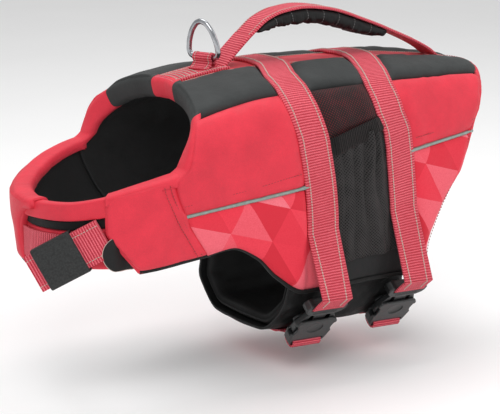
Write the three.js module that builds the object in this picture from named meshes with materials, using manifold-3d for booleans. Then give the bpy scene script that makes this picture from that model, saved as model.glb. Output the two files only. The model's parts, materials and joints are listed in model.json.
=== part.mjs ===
// Dog's flotation jacket: padded body panels, two webbing straps with side-release
// buckles, a carry handle, a lead ring and a wrap-over chest closure.
// Millimetres. +X runs to the tail, -X to the head, -Y is the buckle side, +Z is up.
import * as THREE from 'three';
import { mergeVertices } from 'three/addons/utils/BufferGeometryUtils.js';
import Module from 'manifold-3d';

const wasm = await Module();
wasm.setup();

// ---------------------------------------------------------------- overall sizes
const HALF_WIDTH = 107;          // body half width at the front strap
const CROWN = 279;               // height of the spine over the buckles at the front strap
const BODY_LENGTH = 408;         // neck corner to the tail end of the spine, along X
const WEB_WIDTH = 36;            // strap webbing
const WEB_THICK = 2;
const FOAM_THICK = 11.4;         // buoyancy foam in the body panels
const CLOTH = 1.5;               // cover fabric, drawn as one plain layer
const GAP = 0.4;                 // clear space between neighbouring layers
const SHOULDER_DROP = 64;        // spine to the top of the straight side wall
const NECK_DROP = 50;            // the same at the neck
const TUCK = 10;                 // how far the wall leans in at its lower edge
const ARCH_TOP = 122;            // top of the leg opening
const NECK_X = -150;             // where the side wall turns into the collar
const FRONT_STRAP_X = 0;
const REAR_STRAP_X = 107;
const HANDLE_RISE = 57;          // top of the handle over its two sewn ends
const HANDLE_WIDTH = 30;
const GRIP_THICK = 15;
const COLLAR_DEPTH = 112;        // how far the collar reaches ahead of the side wall
const BUCKLE_WIDTH = WEB_WIDTH + 14;
const BUCKLE_LENGTH = 64;

const TAIL_X = NECK_X + BODY_LENGTH;

// ---------------------------------------------------------------- layer offsets
const FOAM_OUT = -GAP / 2;
const FOAM_IN = FOAM_OUT - FOAM_THICK;
const LINING_OUT = FOAM_IN - GAP;
const LINING_IN = LINING_OUT - CLOTH;
const COVER_IN = GAP;
const COVER_OUT = COVER_IN + CLOTH;
const STRIP_IN = COVER_OUT + GAP;
const STRIP_OUT = STRIP_IN + CLOTH;
const WEB_IN = COVER_OUT + 2 * GAP;
const PIPING_OUT = WEB_IN + 2.2;
const BINDING_OUT = COVER_OUT + 0.8;

// ---------------------------------------------------------------- small helpers
function lerp(a, b, t) {
  return a + (b - a) * t;
}

// Straight-line interpolation through [position, value] pairs.
function through(points, at) {
  if (at <= points[0][0]) {
    return points[0][1];
  }
  for (let k = 1; k < points.length; k += 1) {
    if (at <= points[k][0]) {
      const t = (at - points[k - 1][0]) / (points[k][0] - points[k - 1][0]);
      return lerp(points[k - 1][1], points[k][1], t);
    }
  }
  return points[points.length - 1][1];
}

// The whole numbers strictly between a and b, with a and b at the ends.
function stations(a, b) {
  const list = [a];
  for (let k = Math.floor(a) + 1; k < b - 1e-6; k += 1) {
    if (k > a + 1e-6) {
      list.push(k);
    }
  }
  list.push(b);
  return list;
}

function evenly(a, b, count) {
  return Array.from({ length: count + 1 }, (_, k) => lerp(a, b, k / count));
}

function solidFrom(positions, indices) {
  const geometry = new THREE.BufferGeometry();
  geometry.setAttribute('position', new THREE.Float32BufferAttribute(positions, 3));
  geometry.setIndex(indices);
  return facingOut(geometry);
}

function facingOut(geometry) {
  const p = geometry.attributes.position;
  const index = geometry.index.array;
  const a = new THREE.Vector3();
  const b = new THREE.Vector3();
  const c = new THREE.Vector3();
  let volume = 0;
  for (let k = 0; k < index.length; k += 3) {
    a.fromBufferAttribute(p, index[k]);
    b.fromBufferAttribute(p, index[k + 1]);
    c.fromBufferAttribute(p, index[k + 2]);
    volume += a.dot(b.cross(c));
  }
  if (volume < 0) {
    for (let k = 0; k < index.length; k += 3) {
      const keep = index[k];
      index[k] = index[k + 1];
      index[k + 1] = keep;
    }
  }
  return geometry;
}

// A closed solid between an inner and an outer sheet; at(u, v, side) gives the points.
function slab(us, vs, at) {
  const positions = [];
  const indices = [];
  const nu = us.length;
  const nv = vs.length;
  const id = (i, j, side) => (side * nu + i) * nv + j;
  for (let side = 0; side < 2; side += 1) {
    for (const u of us) {
      for (const v of vs) {
        positions.push(...at(u, v, side).toArray());
      }
    }
  }
  const quad = (a, b, c, d) => indices.push(a, b, c, a, c, d);
  for (let i = 0; i < nu - 1; i += 1) {
    for (let j = 0; j < nv - 1; j += 1) {
      quad(id(i, j, 1), id(i + 1, j, 1), id(i + 1, j + 1, 1), id(i, j + 1, 1));
      quad(id(i, j, 0), id(i, j + 1, 0), id(i + 1, j + 1, 0), id(i + 1, j, 0));
    }
  }
  for (let i = 0; i < nu - 1; i += 1) {
    quad(id(i, 0, 0), id(i + 1, 0, 0), id(i + 1, 0, 1), id(i, 0, 1));
    quad(id(i, nv - 1, 1), id(i + 1, nv - 1, 1), id(i + 1, nv - 1, 0), id(i, nv - 1, 0));
  }
  for (let j = 0; j < nv - 1; j += 1) {
    quad(id(0, j, 1), id(0, j + 1, 1), id(0, j + 1, 0), id(0, j, 0));
    quad(id(nu - 1, j, 0), id(nu - 1, j + 1, 0), id(nu - 1, j + 1, 1), id(nu - 1, j, 1));
  }
  return solidFrom(positions, indices);
}

function toManifold(geometry) {
  const bare = geometry.clone();
  bare.deleteAttribute('normal');
  bare.deleteAttribute('uv');
  const merged = mergeVertices(bare, 1e-4);
  return new wasm.Manifold(new wasm.Mesh({
    numProp: 3,
    vertProperties: new Float32Array(merged.attributes.position.array),
    triVerts: new Uint32Array(merged.index.array),
  }));
}

function fromManifold(solid) {
  const mesh = solid.getMesh();
  return solidFrom(Array.from(mesh.vertProperties), Array.from(mesh.triVerts));
}

// ---------------------------------------------------------------- the body surface
// A point on the body is found from a column number (front to tail) and a row number
// (0 at the spine, ROWS at the lower edge; negative rows are the buckle side).
const ROWS = 9;
const COLUMNS = 12;
const STRAP_1 = [4, 5];
const STRAP_2 = [7, 8];
const ROW_STRIP = 1;
const ROW_BOUND = 3;
const ROW_PIPING = 6;

function halfWidth(x) {
  const shares = [[-150, 0.98], [0, 1], [60, 0.955], [120, 0.88], [200, 0.77], [258, 0.66]];
  return HALF_WIDTH * through(shares, x);
}

function crown(x) {
  const rises = [[-150, -20], [-100, -8], [-45, -1], [0, 0], [110, -1], [180, -7], [220, -12], [258, -20]];
  return CROWN + through(rises, x);
}

function lowerEdge(x) {
  return through([[-130, ARCH_TOP - 5], [-95, ARCH_TOP], [-66, ARCH_TOP - 14], [-45, ARCH_TOP - 36],
    [-12, 66], [60, 66], [131, 62]], x);
}

function pipingHeight(x) {
  return through([[-154, 163], [-20, 176], [40, 184], [118, 196], [200, 205]], x);
}

function shoulderDrop(x) {
  return through([[NECK_X, NECK_DROP], [FRONT_STRAP_X, SHOULDER_DROP]], x);
}

// q is 0 at the spine, 1 at the top of the side wall and 2 at the lower edge.
function section(x, q) {
  const w = halfWidth(x);
  const top = crown(x);
  const wallTop = top - shoulderDrop(x);
  if (q <= 1) {
    const angle = q * Math.PI / 2;
    const y = w * Math.sin(angle) ** 0.8;
    const z = wallTop + shoulderDrop(x) * Math.cos(angle) ** 0.8;
    return new THREE.Vector3(x, y, q < 1 ? z : wallTop);
  }
  const down = q - 1;
  return new THREE.Vector3(x, w - TUCK * down * down, lerp(wallTop, lowerEdge(x), down));
}

function qAtHeight(x, z) {
  const top = crown(x);
  const wallTop = top - shoulderDrop(x);
  if (z < wallTop) {
    return 1 + (wallTop - z) / (wallTop - lowerEdge(x));
  }
  return Math.acos(((z - wallTop) / shoulderDrop(x)) ** 1.25) / (Math.PI / 2);
}

const neckEdge = [[0, -112], [0.5, -128], [0.8, -143], [1, -151], [1.14, -165], [1.5, -154], [2, -124]];
const strapLean = [[0, 0], [0.1, -4], [0.3, -14], [0.6, -17], [0.8, -15], [1, -9], [1.2, -3],
  [1.5, 3], [2, 7]];
const rearLean = [[0, 0], [0.3, -12], [0.6, -21], [0.8, -20], [1, -11], [1.3, -4], [1.6, 2], [2, 8]];
const rearEdge = [[0, 0], [0.3, -14], [0.5, -25], [0.75, -38], [1, -54], [1.27, -69], [1.45, -88],
  [1.65, -104], [1.8, -112], [2, -114]];

function columnX(column, q) {
  const front = FRONT_STRAP_X + through(strapLean, q);
  const rear = REAR_STRAP_X + through(rearLean, q);
  const rails = [
    [0, through(neckEdge, q)],
    [STRAP_1[0], front - WEB_WIDTH / 2],
    [STRAP_1[1], front + WEB_WIDTH / 2],
    [STRAP_2[0], rear - WEB_WIDTH / 2],
    [STRAP_2[1], rear + WEB_WIDTH / 2],
    [COLUMNS, TAIL_X + through(rearEdge, q)],
  ];
  return through(rails, column);
}

function rowQ(row, x) {
  const bound = through([[-140, 0.6], [-60, 0.54], [60, 0.5], [110, 0.5], [226, 0.42]], x);
  const piping = qAtHeight(x, pipingHeight(x));
  const marks = [[0, 0], [ROW_STRIP, 0.085], [2, 0.3], [ROW_BOUND, bound], [ROW_PIPING, piping], [ROWS, 2]];
  return through(marks, row);
}

function smooth(column, row) {
  let x = columnX(column, through([[0, 0], [1, 0.085], [2, 0.3], [3, 0.58], [6, 1.2], [9, 2]], row));
  for (let pass = 0; pass < 3; pass += 1) {
    x = columnX(column, rowQ(row, x));
  }
  return section(x, rowQ(row, x));
}

const nodes = [];
for (let i = 0; i <= COLUMNS; i += 1) {
  const line = [];
  for (let j = 0; j <= ROWS; j += 1) {
    line.push({ at: smooth(i, j) });
  }
  nodes.push(line);
}

function nodeNormal(i, j) {
  const a = nodes[Math.min(i + 1, COLUMNS)][j].at;
  const b = nodes[Math.max(i - 1, 0)][j].at;
  const c = nodes[i][Math.min(j + 1, ROWS)].at;
  const d = j === 0 ? nodes[i][1].at.clone().setY(-nodes[i][1].at.y) : nodes[i][j - 1].at;
  const along = a.clone().sub(b);
  const down = c.clone().sub(d);
  return along.cross(down).normalize();
}

for (let i = 0; i <= COLUMNS; i += 1) {
  for (let j = 0; j <= ROWS; j += 1) {
    nodes[i][j].out = nodeNormal(i, j);
  }
}

function onBody(column, row, offset) {
  const j = Math.min(Math.floor(Math.abs(row)), ROWS - 1);
  const i = Math.min(Math.floor(column), COLUMNS - 1);
  const s = column - i;
  const t = Math.abs(row) - j;
  const result = new THREE.Vector3();
  const corners = [[0, 0, (1 - s) * (1 - t)], [1, 0, s * (1 - t)], [0, 1, (1 - s) * t], [1, 1, s * t]];
  for (const [di, dj, weight] of corners) {
    const node = nodes[i + di][j + dj];
    result.addScaledVector(node.at, weight);
    result.addScaledVector(node.out, weight * offset);
  }
  if (row < 0) {
    result.y = -result.y;
  }
  return result;
}

function panel(columns, rows, inner, outer) {
  const rise = typeof inner === 'function' ? inner : () => 0;
  const base = typeof inner === 'function' ? 0 : inner;
  return slab(stations(...columns), stations(...rows), (u, v, side) =>
    onBody(u, v, rise(u, v) + (side ? outer : base)));
}

// ---------------------------------------------------------------- the collar surface
// Reach is the distance forward from NECK_X around the chest; the buckle side is -1.
const COLLAR_ARC = 110;
const FRONT_REACH = COLLAR_ARC * Math.PI / 2;

function collarPlan(reach, side, offset) {
  const w = halfWidth(NECK_X);
  if (reach <= 0) {
    return new THREE.Vector3(NECK_X - reach, side * (w + offset), 0);
  }
  const angle = reach / COLLAR_ARC;
  const x = NECK_X - (COLLAR_DEPTH + offset) * Math.sin(angle);
  return new THREE.Vector3(x, side * (w + offset) * Math.cos(angle), 0);
}

function collarTop(reach) {
  return through([[0, 205], [20, 201], [45, 195], [85, 184], [120, 178], [FRONT_REACH, 175]],
    Math.min(reach, 2 * FRONT_REACH - reach));
}

function collarBottom(reach) {
  return through([[-30, ARCH_TOP - 4], [0, ARCH_TOP - 7], [60, 110], [FRONT_REACH, 108]],
    Math.min(reach, 2 * FRONT_REACH - reach));
}

// height 0 is the neck rim, 1 the lower edge
function onCollar(reach, height, side, offset) {
  const lean = TUCK * height * height * through([[0, 1], [60, 0.5], [FRONT_REACH, 0.3]], reach);
  const point = collarPlan(reach, side, offset - lean);
  point.z = lerp(collarTop(reach), collarBottom(reach), height);
  return point;
}

const parts = [];
const looks = {
  red: { color: 0xe0243c, roughness: 0.75, metalness: 0 },
  print: { color: 0xe84a60, roughness: 0.75, metalness: 0 },
  charcoal: { color: 0x3c3f3f, roughness: 0.85, metalness: 0 },
  black: { color: 0x141414, roughness: 0.85, metalness: 0 },
  foam: { color: 0xd8d4cc, roughness: 0.95, metalness: 0 },
  mesh: { color: 0x1c1616, roughness: 0.9, metalness: 0 },
  webbing: { color: 0xdc4c5c, roughness: 0.8, metalness: 0 },
  piping: { color: 0x8ca096, roughness: 0.45, metalness: 0 },
  plastic: { color: 0x2c2e2e, roughness: 0.4, metalness: 0 },
  ring: { color: 0x55585c, roughness: 0.25, metalness: 1 },
};

function add(name, look, geometry) {
  parts.push({ name, look, geometry });
}

// ---------------------------------------------------------------- body panels
const EDGE = 0.12;               // width of an edge binding, in columns or rows
const SEAM = 0.03;               // half the clear space at a seam, in columns or rows
const FIRST = EDGE + 0.1;
const LAST = COLUMNS - EDGE - 0.08;
const LOW = ROWS - EDGE - 2 * SEAM;
const MID_1 = (STRAP_1[0] + STRAP_1[1]) / 2;
const MID_2 = (STRAP_2[0] + STRAP_2[1]) / 2;
const CORNER_ROW = 4.5;          // row where the neck rim turns into the collar
const ELASTIC_ROW = 5;           // row of the elastic hem on the mesh pocket
const ELASTIC_HALF = 0.22;       // half the depth of that hem, in rows

add('back_foam', 'foam', panel([FIRST, LAST], [-ROW_BOUND + SEAM, ROW_BOUND - SEAM], FOAM_IN, FOAM_OUT));
const crest = [-ROW_BOUND + SEAM, ROW_BOUND - SEAM];
add('back_cover', 'charcoal', panel([FIRST, LAST], crest, COVER_IN, COVER_OUT));
add('lining', 'black', panel([FIRST, LAST], [-LOW, LOW], LINING_IN, LINING_OUT));

for (const [side, label] of [[-1, 'left'], [1, 'right']]) {
  const rows = (a, b) => (side < 0 ? [-b, -a] : [a, b]);
  const upper = rows(ROW_BOUND + SEAM, ROW_PIPING - SEAM);
  const lower = rows(ROW_PIPING + SEAM, LOW);
  const wall = rows(ROW_BOUND + SEAM, LOW);
  const front = [FIRST, MID_1 - SEAM];
  const middle = [MID_1 + SEAM, MID_2 - SEAM];
  const rear = [MID_2 + SEAM, LAST];
  add(`front_foam_${label}`, 'foam', panel(front, wall, FOAM_IN, FOAM_OUT));
  add(`rear_foam_${label}`, 'foam', panel(rear, wall, FOAM_IN, FOAM_OUT));
  add(`front_upper_cover_${label}`, 'red', panel(front, upper, COVER_IN, COVER_OUT));
  add(`front_lower_cover_${label}`, 'print', panel(front, lower, COVER_IN, COVER_OUT));
  add(`rear_upper_cover_${label}`, 'red', panel(rear, upper, COVER_IN, COVER_OUT));
  add(`rear_lower_cover_${label}`, 'print', panel(rear, lower, COVER_IN, COVER_OUT));
  add(`mesh_pocket_${label}`, 'mesh', panel(middle, wall, COVER_IN, COVER_OUT));
  const band = rows(ELASTIC_ROW - ELASTIC_HALF, ELASTIC_ROW + ELASTIC_HALF);
  const between = [STRAP_1[1] + 0.06, STRAP_2[0] - 0.06];
  add(`pocket_elastic_${label}`, 'black', panel(between, band, WEB_IN, WEB_IN + CLOTH));
  const line = rows(ROW_PIPING - 0.09, ROW_PIPING + 0.09);
  add(`front_piping_${label}`, 'piping', panel([FIRST, STRAP_1[0] - 0.04], line, WEB_IN, PIPING_OUT));
  add(`rear_piping_${label}`, 'piping', panel([STRAP_2[1] + 0.04, LAST], line, WEB_IN, PIPING_OUT));
  const hem = rows(LOW + 2 * SEAM, ROWS);
  add(`leg_binding_${label}`, 'black', panel([FIRST, LAST], hem, LINING_IN, BINDING_OUT));
}
add('rear_binding', 'red', panel([COLUMNS - EDGE, COLUMNS], [-ROWS, ROWS], LINING_IN, BINDING_OUT));
add('neck_binding', 'red', panel([0, EDGE - SEAM], [-CORNER_ROW, CORNER_ROW], LINING_IN, BINDING_OUT));

// ---------------------------------------------------------------- straps over the back
const CROSSING = STRIP_OUT - COVER_OUT;
function strapRise(u, v) {
  return through([[0, CROSSING], [ROW_STRIP + 0.1, CROSSING], [2, 0], [ROWS, 0]], Math.abs(v));
}

const STRAP_END = 7.3;           // row on the buckle side where the free part begins
const SKEW = 0.065;              // its cut runs along the buckle's line, in rows
for (const [span, label] of [[STRAP_1, 'front'], [STRAP_2, 'rear']]) {
  add(`${label}_strap`, 'webbing', slab(span, stations(-STRAP_END, LOW), (u, v, side) => {
    const row = v === -STRAP_END && side ? v + SKEW : v;
    return onBody(u, row, strapRise(u, v) + WEB_IN + (side ? WEB_THICK : 0));
  }));
}

// ---------------------------------------------------------------- collar and chest
// Ends of the two flaps as [height, reach]; the far one wraps past the middle of the chest.
const FLAP_END_TOP = 74;
const FLAP_END_LOW = 44;
const NEAR_END = [[0, FLAP_END_TOP], [0.5, FLAP_END_TOP], [1, FLAP_END_LOW]];
const FAR_END = [[0, 188], [0.2, 168], [0.4, 156], [0.6, 152], [0.8, 156], [1, 164]];
const SEAM_GAP = 2.1;
const PAD_RECESS = 5;            // the chest pad sits this much behind the flaps

// Where the collar starts, just ahead of the side panel's front edge.
function seamReach(height) {
  return NECK_X - columnX(FIRST - SEAM, lerp(1.14, 2, height)) + SEAM_GAP;
}

function flap(side, ends, inner, outer) {
  return slab(evenly(0, 1, side < 0 ? 7 : 10), evenly(0, 1, 10), (u, v, face) => {
    const height = lerp(0.03, 0.97, v);
    const reach = lerp(seamReach(v), through(ends, height), u);
    return onCollar(reach, height, side, face ? outer : inner);
  });
}

for (const [side, label, ends] of [[-1, 'left', NEAR_END], [1, 'right', FAR_END]]) {
  add(`shoulder_foam_${label}`, 'foam', flap(side, ends, FOAM_IN, FOAM_OUT));
  add(`shoulder_cover_${label}`, 'red', flap(side, ends, COVER_IN, COVER_OUT));
}

// Pieces across the chest run from the near flap's end round to the far one's.
const STRIP_LOW = 0.26;          // lower edge of the collar strip, share of the collar height
const BAND_LOW = 0.4;
const CHEST_GAP = 2;
const PIECE_GAP = 0.01;          // between those pieces, share of the collar height
function chest(high, low, inner, outer, count) {
  return slab(evenly(0, 1, 8), evenly(high, low, count), (u, v, face) => {
    const far = 2 * FRONT_REACH - through(FAR_END, v) - CHEST_GAP;
    const around = lerp(FLAP_END_TOP + 1, far, u);
    const side = around <= FRONT_REACH ? -1 : 1;
    const reach = Math.min(around, 2 * FRONT_REACH - around);
    return onCollar(reach, v, side, face ? outer : inner);
  });
}

add('collar_strip', 'red', chest(0.03, STRIP_LOW, FOAM_IN, -2, 4));
add('chest_band', 'black', chest(STRIP_LOW + PIECE_GAP, BAND_LOW, FOAM_IN, -4, 2));
add('chest_pad', 'red', chest(BAND_LOW + PIECE_GAP, 0.94, FOAM_IN, -PAD_RECESS, 6));
const tabReaches = evenly(FLAP_END_LOW + 3, FLAP_END_TOP - 1, 4);
add('chest_tab', 'black', slab(tabReaches, [0.55, 0.92], (u, v, face) => {
  const t = (u - FLAP_END_LOW) / (FLAP_END_TOP - FLAP_END_LOW);
  const height = v < 0.7 ? lerp(0.97, 0.53, t) : 0.94;
  return onCollar(u + 2, Math.min(height, 0.935), -1, face ? -4 : FOAM_IN);
}));

// ---------------------------------------------------------------- belly
const BELLY_TOP = 64;
const BELLY_CLEAR = 27;          // from the body's half width in to the belly's side
const BELLY_FLOOR = 17;
const BELLY_FOAM = 13;
const BELLY_FRONT = -28;
const BELLY_REAR = 128;
const PLATE = WEB_THICK + 0.8;

// v runs from 0 at the buckle side, under the belly, to 1 at the far side.
function bellyPoint(x, v, depth) {
  const half = halfWidth(x) - BELLY_CLEAR;
  const path = [[0, -1, BELLY_TOP], [0.16, -0.98, 36], [0.28, -0.79, 14], [0.4, -0.5, 1],
    [0.5, 0, 0], [0.6, 0.5, 1], [0.72, 0.79, 14], [0.84, 0.98, 36], [1, 1, BELLY_TOP]];
  const y = through(path.map((p) => [p[0], p[1]]), v) * half;
  const z = through(path.map((p) => [p[0], p[2]]), v) + BELLY_FLOOR;
  const turn = through([[0, 0], [0.16, 0.15], [0.28, 0.9], [0.4, 1.35], [0.5, Math.PI / 2], [0.6, 1.79],
    [0.72, 2.24], [0.84, 2.99], [1, Math.PI]], v);
  return new THREE.Vector3(x, y + depth * Math.cos(turn), z + depth * Math.sin(turn));
}

const bellyRows = [0, 0.08, 0.16, 0.28, 0.4, 0.5, 0.6, 0.72, 0.84, 0.92, 1];
function belly(inner, outer, from, to) {
  return slab(evenly(from, to, 4), bellyRows, (u, v, face) => {
    const scoop = u === from ? through([[0, 14], [0.2, 6], [0.5, 0], [0.8, 0], [1, 6]], v) : 0;
    return bellyPoint(u + scoop, v, face ? outer : inner);
  });
}
add('belly_foam', 'foam', belly(CLOTH + GAP + BELLY_FOAM, CLOTH + GAP, BELLY_FRONT, BELLY_REAR));
add('belly_cover', 'black', belly(CLOTH, 0, BELLY_FRONT, BELLY_REAR));

// ---------------------------------------------------------------- buckles
const AXIS = new THREE.Vector3(-0.05, 0.64, -0.767).normalize();
const ACROSS = new THREE.Vector3(1, 0, 0).addScaledVector(AXIS, -AXIS.x).normalize();
const FACE = new THREE.Vector3().crossVectors(AXIS, ACROSS);
const PLATE_THICK = 2.4;
const BUCKLE_THICK = 12;
const MOUTH = 25;                // from the web bar's top to the socket's mouth
const PRONG_THICK = 6;

function inBuckle(geometry, origin) {
  const frame = new THREE.Matrix4().makeBasis(ACROSS, AXIS, FACE).setPosition(origin);
  geometry.deleteAttribute('normal');
  geometry.deleteAttribute('uv');
  return facingOut(mergeVertices(geometry.applyMatrix4(frame), 1e-4));
}

function block(w0, w1, t0, t1, n0, n1) {
  const box = new THREE.BoxGeometry(w1 - w0, t1 - t0, n1 - n0);
  return box.translate((w0 + w1) / 2, (t0 + t1) / 2, (n0 + n1) / 2);
}

function plate(outline, thick, middle) {
  const shape = new THREE.Shape(outline.map(([w, t]) => new THREE.Vector2(w, t)));
  const solid = new THREE.ExtrudeGeometry(shape, { depth: thick, bevelEnabled: false });
  return solid.translate(0, 0, middle - thick / 2);
}

function bothSides(half) {
  return [...half, ...half.slice().reverse().map(([w, t]) => [-w, t])];
}

function plug() {
  const half = BUCKLE_WIDTH / 2;
  const bar = plate(bothSides([[half - 5, 0], [half, 4], [half - 2, 10], [15, 15]]), BUCKLE_THICK - 2, 0);
  const neck = plate([[-8, 12], [8, 12], [8, 36], [4, 48], [-4, 48], [-8, 36]], PRONG_THICK, 0);
  const slot = block(-WEB_WIDTH / 2 - 1, WEB_WIDTH / 2 + 1, 4.4, 7.6, -BUCKLE_THICK, BUCKLE_THICK);
  return fromManifold(toManifold(bar).add(toManifold(neck)).subtract(toManifold(slot)));
}

function prong(side) {
  const outline = [[11, 15.6], [15.5, 15.6], [18.5, 25], [23.5, 34], [23.5, 40], [19, 48],
    [13, 48], [13.5, 30]];
  return plate(outline.map(([w, t]) => [w * side, t]), PRONG_THICK, 0);
}

function socket() {
  const half = BUCKLE_WIDTH / 2;
  const outline = bothSides([[half - 5, MOUTH], [half - 1, 34], [half - 1, 42], [half - 3, BUCKLE_LENGTH - 6],
    [half - 6, BUCKLE_LENGTH]]);
  const body = toManifold(plate(outline, BUCKLE_THICK, 0));
  const room = toManifold(block(-half - 1, half + 1, MOUTH - 1, 50, -BUCKLE_THICK / 2 + PLATE_THICK,
    BUCKLE_THICK / 2 - PLATE_THICK));
  const slot = toManifold(block(-WEB_WIDTH / 2, WEB_WIDTH / 2, BUCKLE_LENGTH - 8.4, BUCKLE_LENGTH - 5,
    -BUCKLE_THICK, BUCKLE_THICK));
  return fromManifold(body.subtract(room).subtract(slot));
}

// ---------------------------------------------------------------- webbing along a path
// Points give the middle of the strap; across is its width direction.
function webbing(points, across, width, thick) {
  const curve = points.map((p) => new THREE.Vector3(...p));
  return slab(evenly(0, curve.length - 1, curve.length - 1), [-0.5, 0.5], (u, v, face) => {
    const k = Math.round(u);
    const before = curve[Math.max(k - 1, 0)].clone();
    const after = curve[Math.min(k + 1, curve.length - 1)].clone();
    const one = curve[k].clone().sub(before).normalize();
    const two = after.clone().sub(curve[k]).normalize();
    const tangent = one.clone().add(two).normalize();
    const stretch = 1 / Math.max(0.6, Math.max(one.dot(tangent), two.dot(tangent)));
    const out = new THREE.Vector3().crossVectors(across, tangent).normalize();
    return curve[k].clone().addScaledVector(across, v * width)
      .addScaledVector(out, (face ? 0.5 : -0.5) * thick * stretch);
  });
}

function buckleOrigin(span) {
  const foot = onBody((span[0] + span[1]) / 2, -8.6, 0);
  return new THREE.Vector3(foot.x + 4, -(halfWidth(foot.x) - 0.5), 57);
}

const SCARF = 0.012;             // clear space at that cut, in rows
for (const [span, label] of [[STRAP_1, 'front'], [STRAP_2, 'rear']]) {
  const origin = buckleOrigin(span);
  const place = (w, t, n) => origin.clone().addScaledVector(ACROSS, w).addScaledVector(AXIS, t)
    .addScaledVector(FACE, n).toArray();
  add(`${label}_buckle_plug`, 'plastic', inBuckle(plug(), origin));
  add(`${label}_buckle_prong_a`, 'plastic', inBuckle(prong(-1), origin));
  add(`${label}_buckle_prong_b`, 'plastic', inBuckle(prong(1), origin));
  add(`${label}_buckle_socket`, 'plastic', inBuckle(socket(), origin));
  // The free part of the strap starts on the cut face and ends in the plug's slot.
  add(`${label}_strap_tail`, 'webbing', slab([0, 1, 2, 3, 4], [0, 1], (u, v, face) => {
    const column = lerp(span[0], span[1], v);
    const w = lerp(-WEB_WIDTH / 2, WEB_WIDTH / 2, v);
    if (u < 1) {
      const row = -STRAP_END - SCARF + (face ? SKEW : 0);
      return onBody(column, row, WEB_IN + (face ? WEB_THICK : 0));
    }
    const rim = BUCKLE_THICK / 2;
    const spots = [[-6, rim + 1.2], [3.2, rim + 1], [6, rim + 0.3], [6, -3.5]];
    const [t, n] = spots[u - 1];
    const out = [[0, 1], [0.2, 1], [1, 0.9], [1, 0]][u - 1];
    const shift = (face ? 0.5 : -0.5) * WEB_THICK;
    return new THREE.Vector3(...place(w, t + out[0] * shift, n + out[1] * shift));
  }));
}

// ---------------------------------------------------------------- along the spine
const RING_X = -66;
const RING_WIRE = 2.6;
const RING_HEIGHT = 42;
const RING_HALF = 18;
const LOOP_TURN = 0.4;           // the loop is sewn on a little askew
const LOOP_WIDTH = 22;
const ROOT_FRONT_X = -54;        // sewn ends of the handle
const ROOT_REAR_X = 209;

function spineColumn(x) {
  let low = 0;
  let high = COLUMNS;
  for (let pass = 0; pass < 30; pass += 1) {
    const mid = (low + high) / 2;
    if (onBody(mid, 0, 0).x < x) {
      low = mid;
    } else {
      high = mid;
    }
  }
  return low;
}

const WEB_ROW = 0.82;            // half width of the spine webbing, in rows
const SPINE_WEB_IN = STRIP_OUT + GAP;
const SPINE_WEB_OUT = SPINE_WEB_IN + WEB_THICK;

// ---------------------------------------------------------------- handle
const handleAxis = {
  front: onBody(spineColumn(ROOT_FRONT_X), 0, SPINE_WEB_OUT + 0.6),
  rear: onBody(spineColumn(ROOT_REAR_X), 0, SPINE_WEB_OUT + 0.6),
};
const HANDLE_THICK = 2.6;
const SPLIT_SHARE = 0.1;         // each sewn end takes this share of the handle
const SPLIT_CLEAR = 0.003;       // so that the handle can swing past them, as a share
const handleCurve = [[0, 0], [0.06, 0.27], [0.12, 0.53], [0.2, 0.82], [0.27, 0.94], [0.37, 1], [0.47, 0.96],
  [0.67, 0.69], [0.79, 0.48], [0.91, 0.25], [0.96, 0.13], [1, 0]];

function handlePoint(t, side, drop) {
  const x = lerp(handleAxis.front.x, handleAxis.rear.x, t);
  const z = lerp(handleAxis.front.z, handleAxis.rear.z, t) + HANDLE_RISE * through(handleCurve, t);
  const before = through(handleCurve, Math.max(t - 0.03, 0));
  const after = through(handleCurve, Math.min(t + 0.03, 1));
  const run = (Math.min(t + 0.03, 1) - Math.max(t - 0.03, 0)) * (handleAxis.rear.x - handleAxis.front.x);
  const slope = new THREE.Vector2(run, (after - before) * HANDLE_RISE).normalize();
  return new THREE.Vector3(x + drop * slope.y, side, z - drop * slope.x);
}

// The same, but drop leads straight down, so that a cut across the handle is upright.
function handleCut(t, side, drop) {
  const lean = handlePoint(t, side, drop).x - handlePoint(t, side, 0).x;
  return handlePoint(t - lean / (handleAxis.rear.x - handleAxis.front.x), side, drop);
}

const acrossHandle = [-HANDLE_WIDTH / 2, -HANDLE_WIDTH / 4, 0, HANDLE_WIDTH / 4, HANDLE_WIDTH / 2];
add('handle_strap', 'red', slab(evenly(0, 1, 22), acrossHandle, (u, v, face) => {
  const t = lerp(SPLIT_SHARE + SPLIT_CLEAR, 1 - SPLIT_SHARE - SPLIT_CLEAR, u);
  const point = u === 0 || u === 1 ? handleCut : handlePoint;
  return point(t, v, face ? 0 : HANDLE_THICK);
}));
add('handle_grip', 'black', slab(evenly(0.155, 0.75, 14), [-1, -0.75, 0, 0.75, 1], (u, v, face) => {
  const taper = through([[0.155, 0.25], [0.25, 0.9], [0.4, 1], [0.65, 1], [0.75, 0.5]], u);
  const round = Math.abs(v) > 0.9 ? 0.55 : 1;
  const deep = 3 + (GRIP_THICK - 3) * taper * round;
  return handlePoint(u, v * (HANDLE_WIDTH / 2 + 1), face ? 3.6 : 3.6 + deep);
}));
// A sewn end of the handle, sunk a little into the piece it is sewn to.
function root(fromRear, sink) {
  return slab(evenly(0, 1, 4), acrossHandle, (u, v, face) => {
    const t = fromRear ? 1 - SPLIT_SHARE * u : SPLIT_SHARE * u;
    const point = u === 1 ? handleCut : handlePoint;
    const drop = u === 0 ? HANDLE_THICK + sink : HANDLE_THICK;
    return point(t, v, face ? 0 : drop);
  });
}
const strip = panel([FIRST, LAST], [-ROW_STRIP, ROW_STRIP], STRIP_IN, STRIP_OUT);
add('spine_strip', 'red', fromManifold(toManifold(strip).add(toManifold(root(true, 1.9)))));

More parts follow.
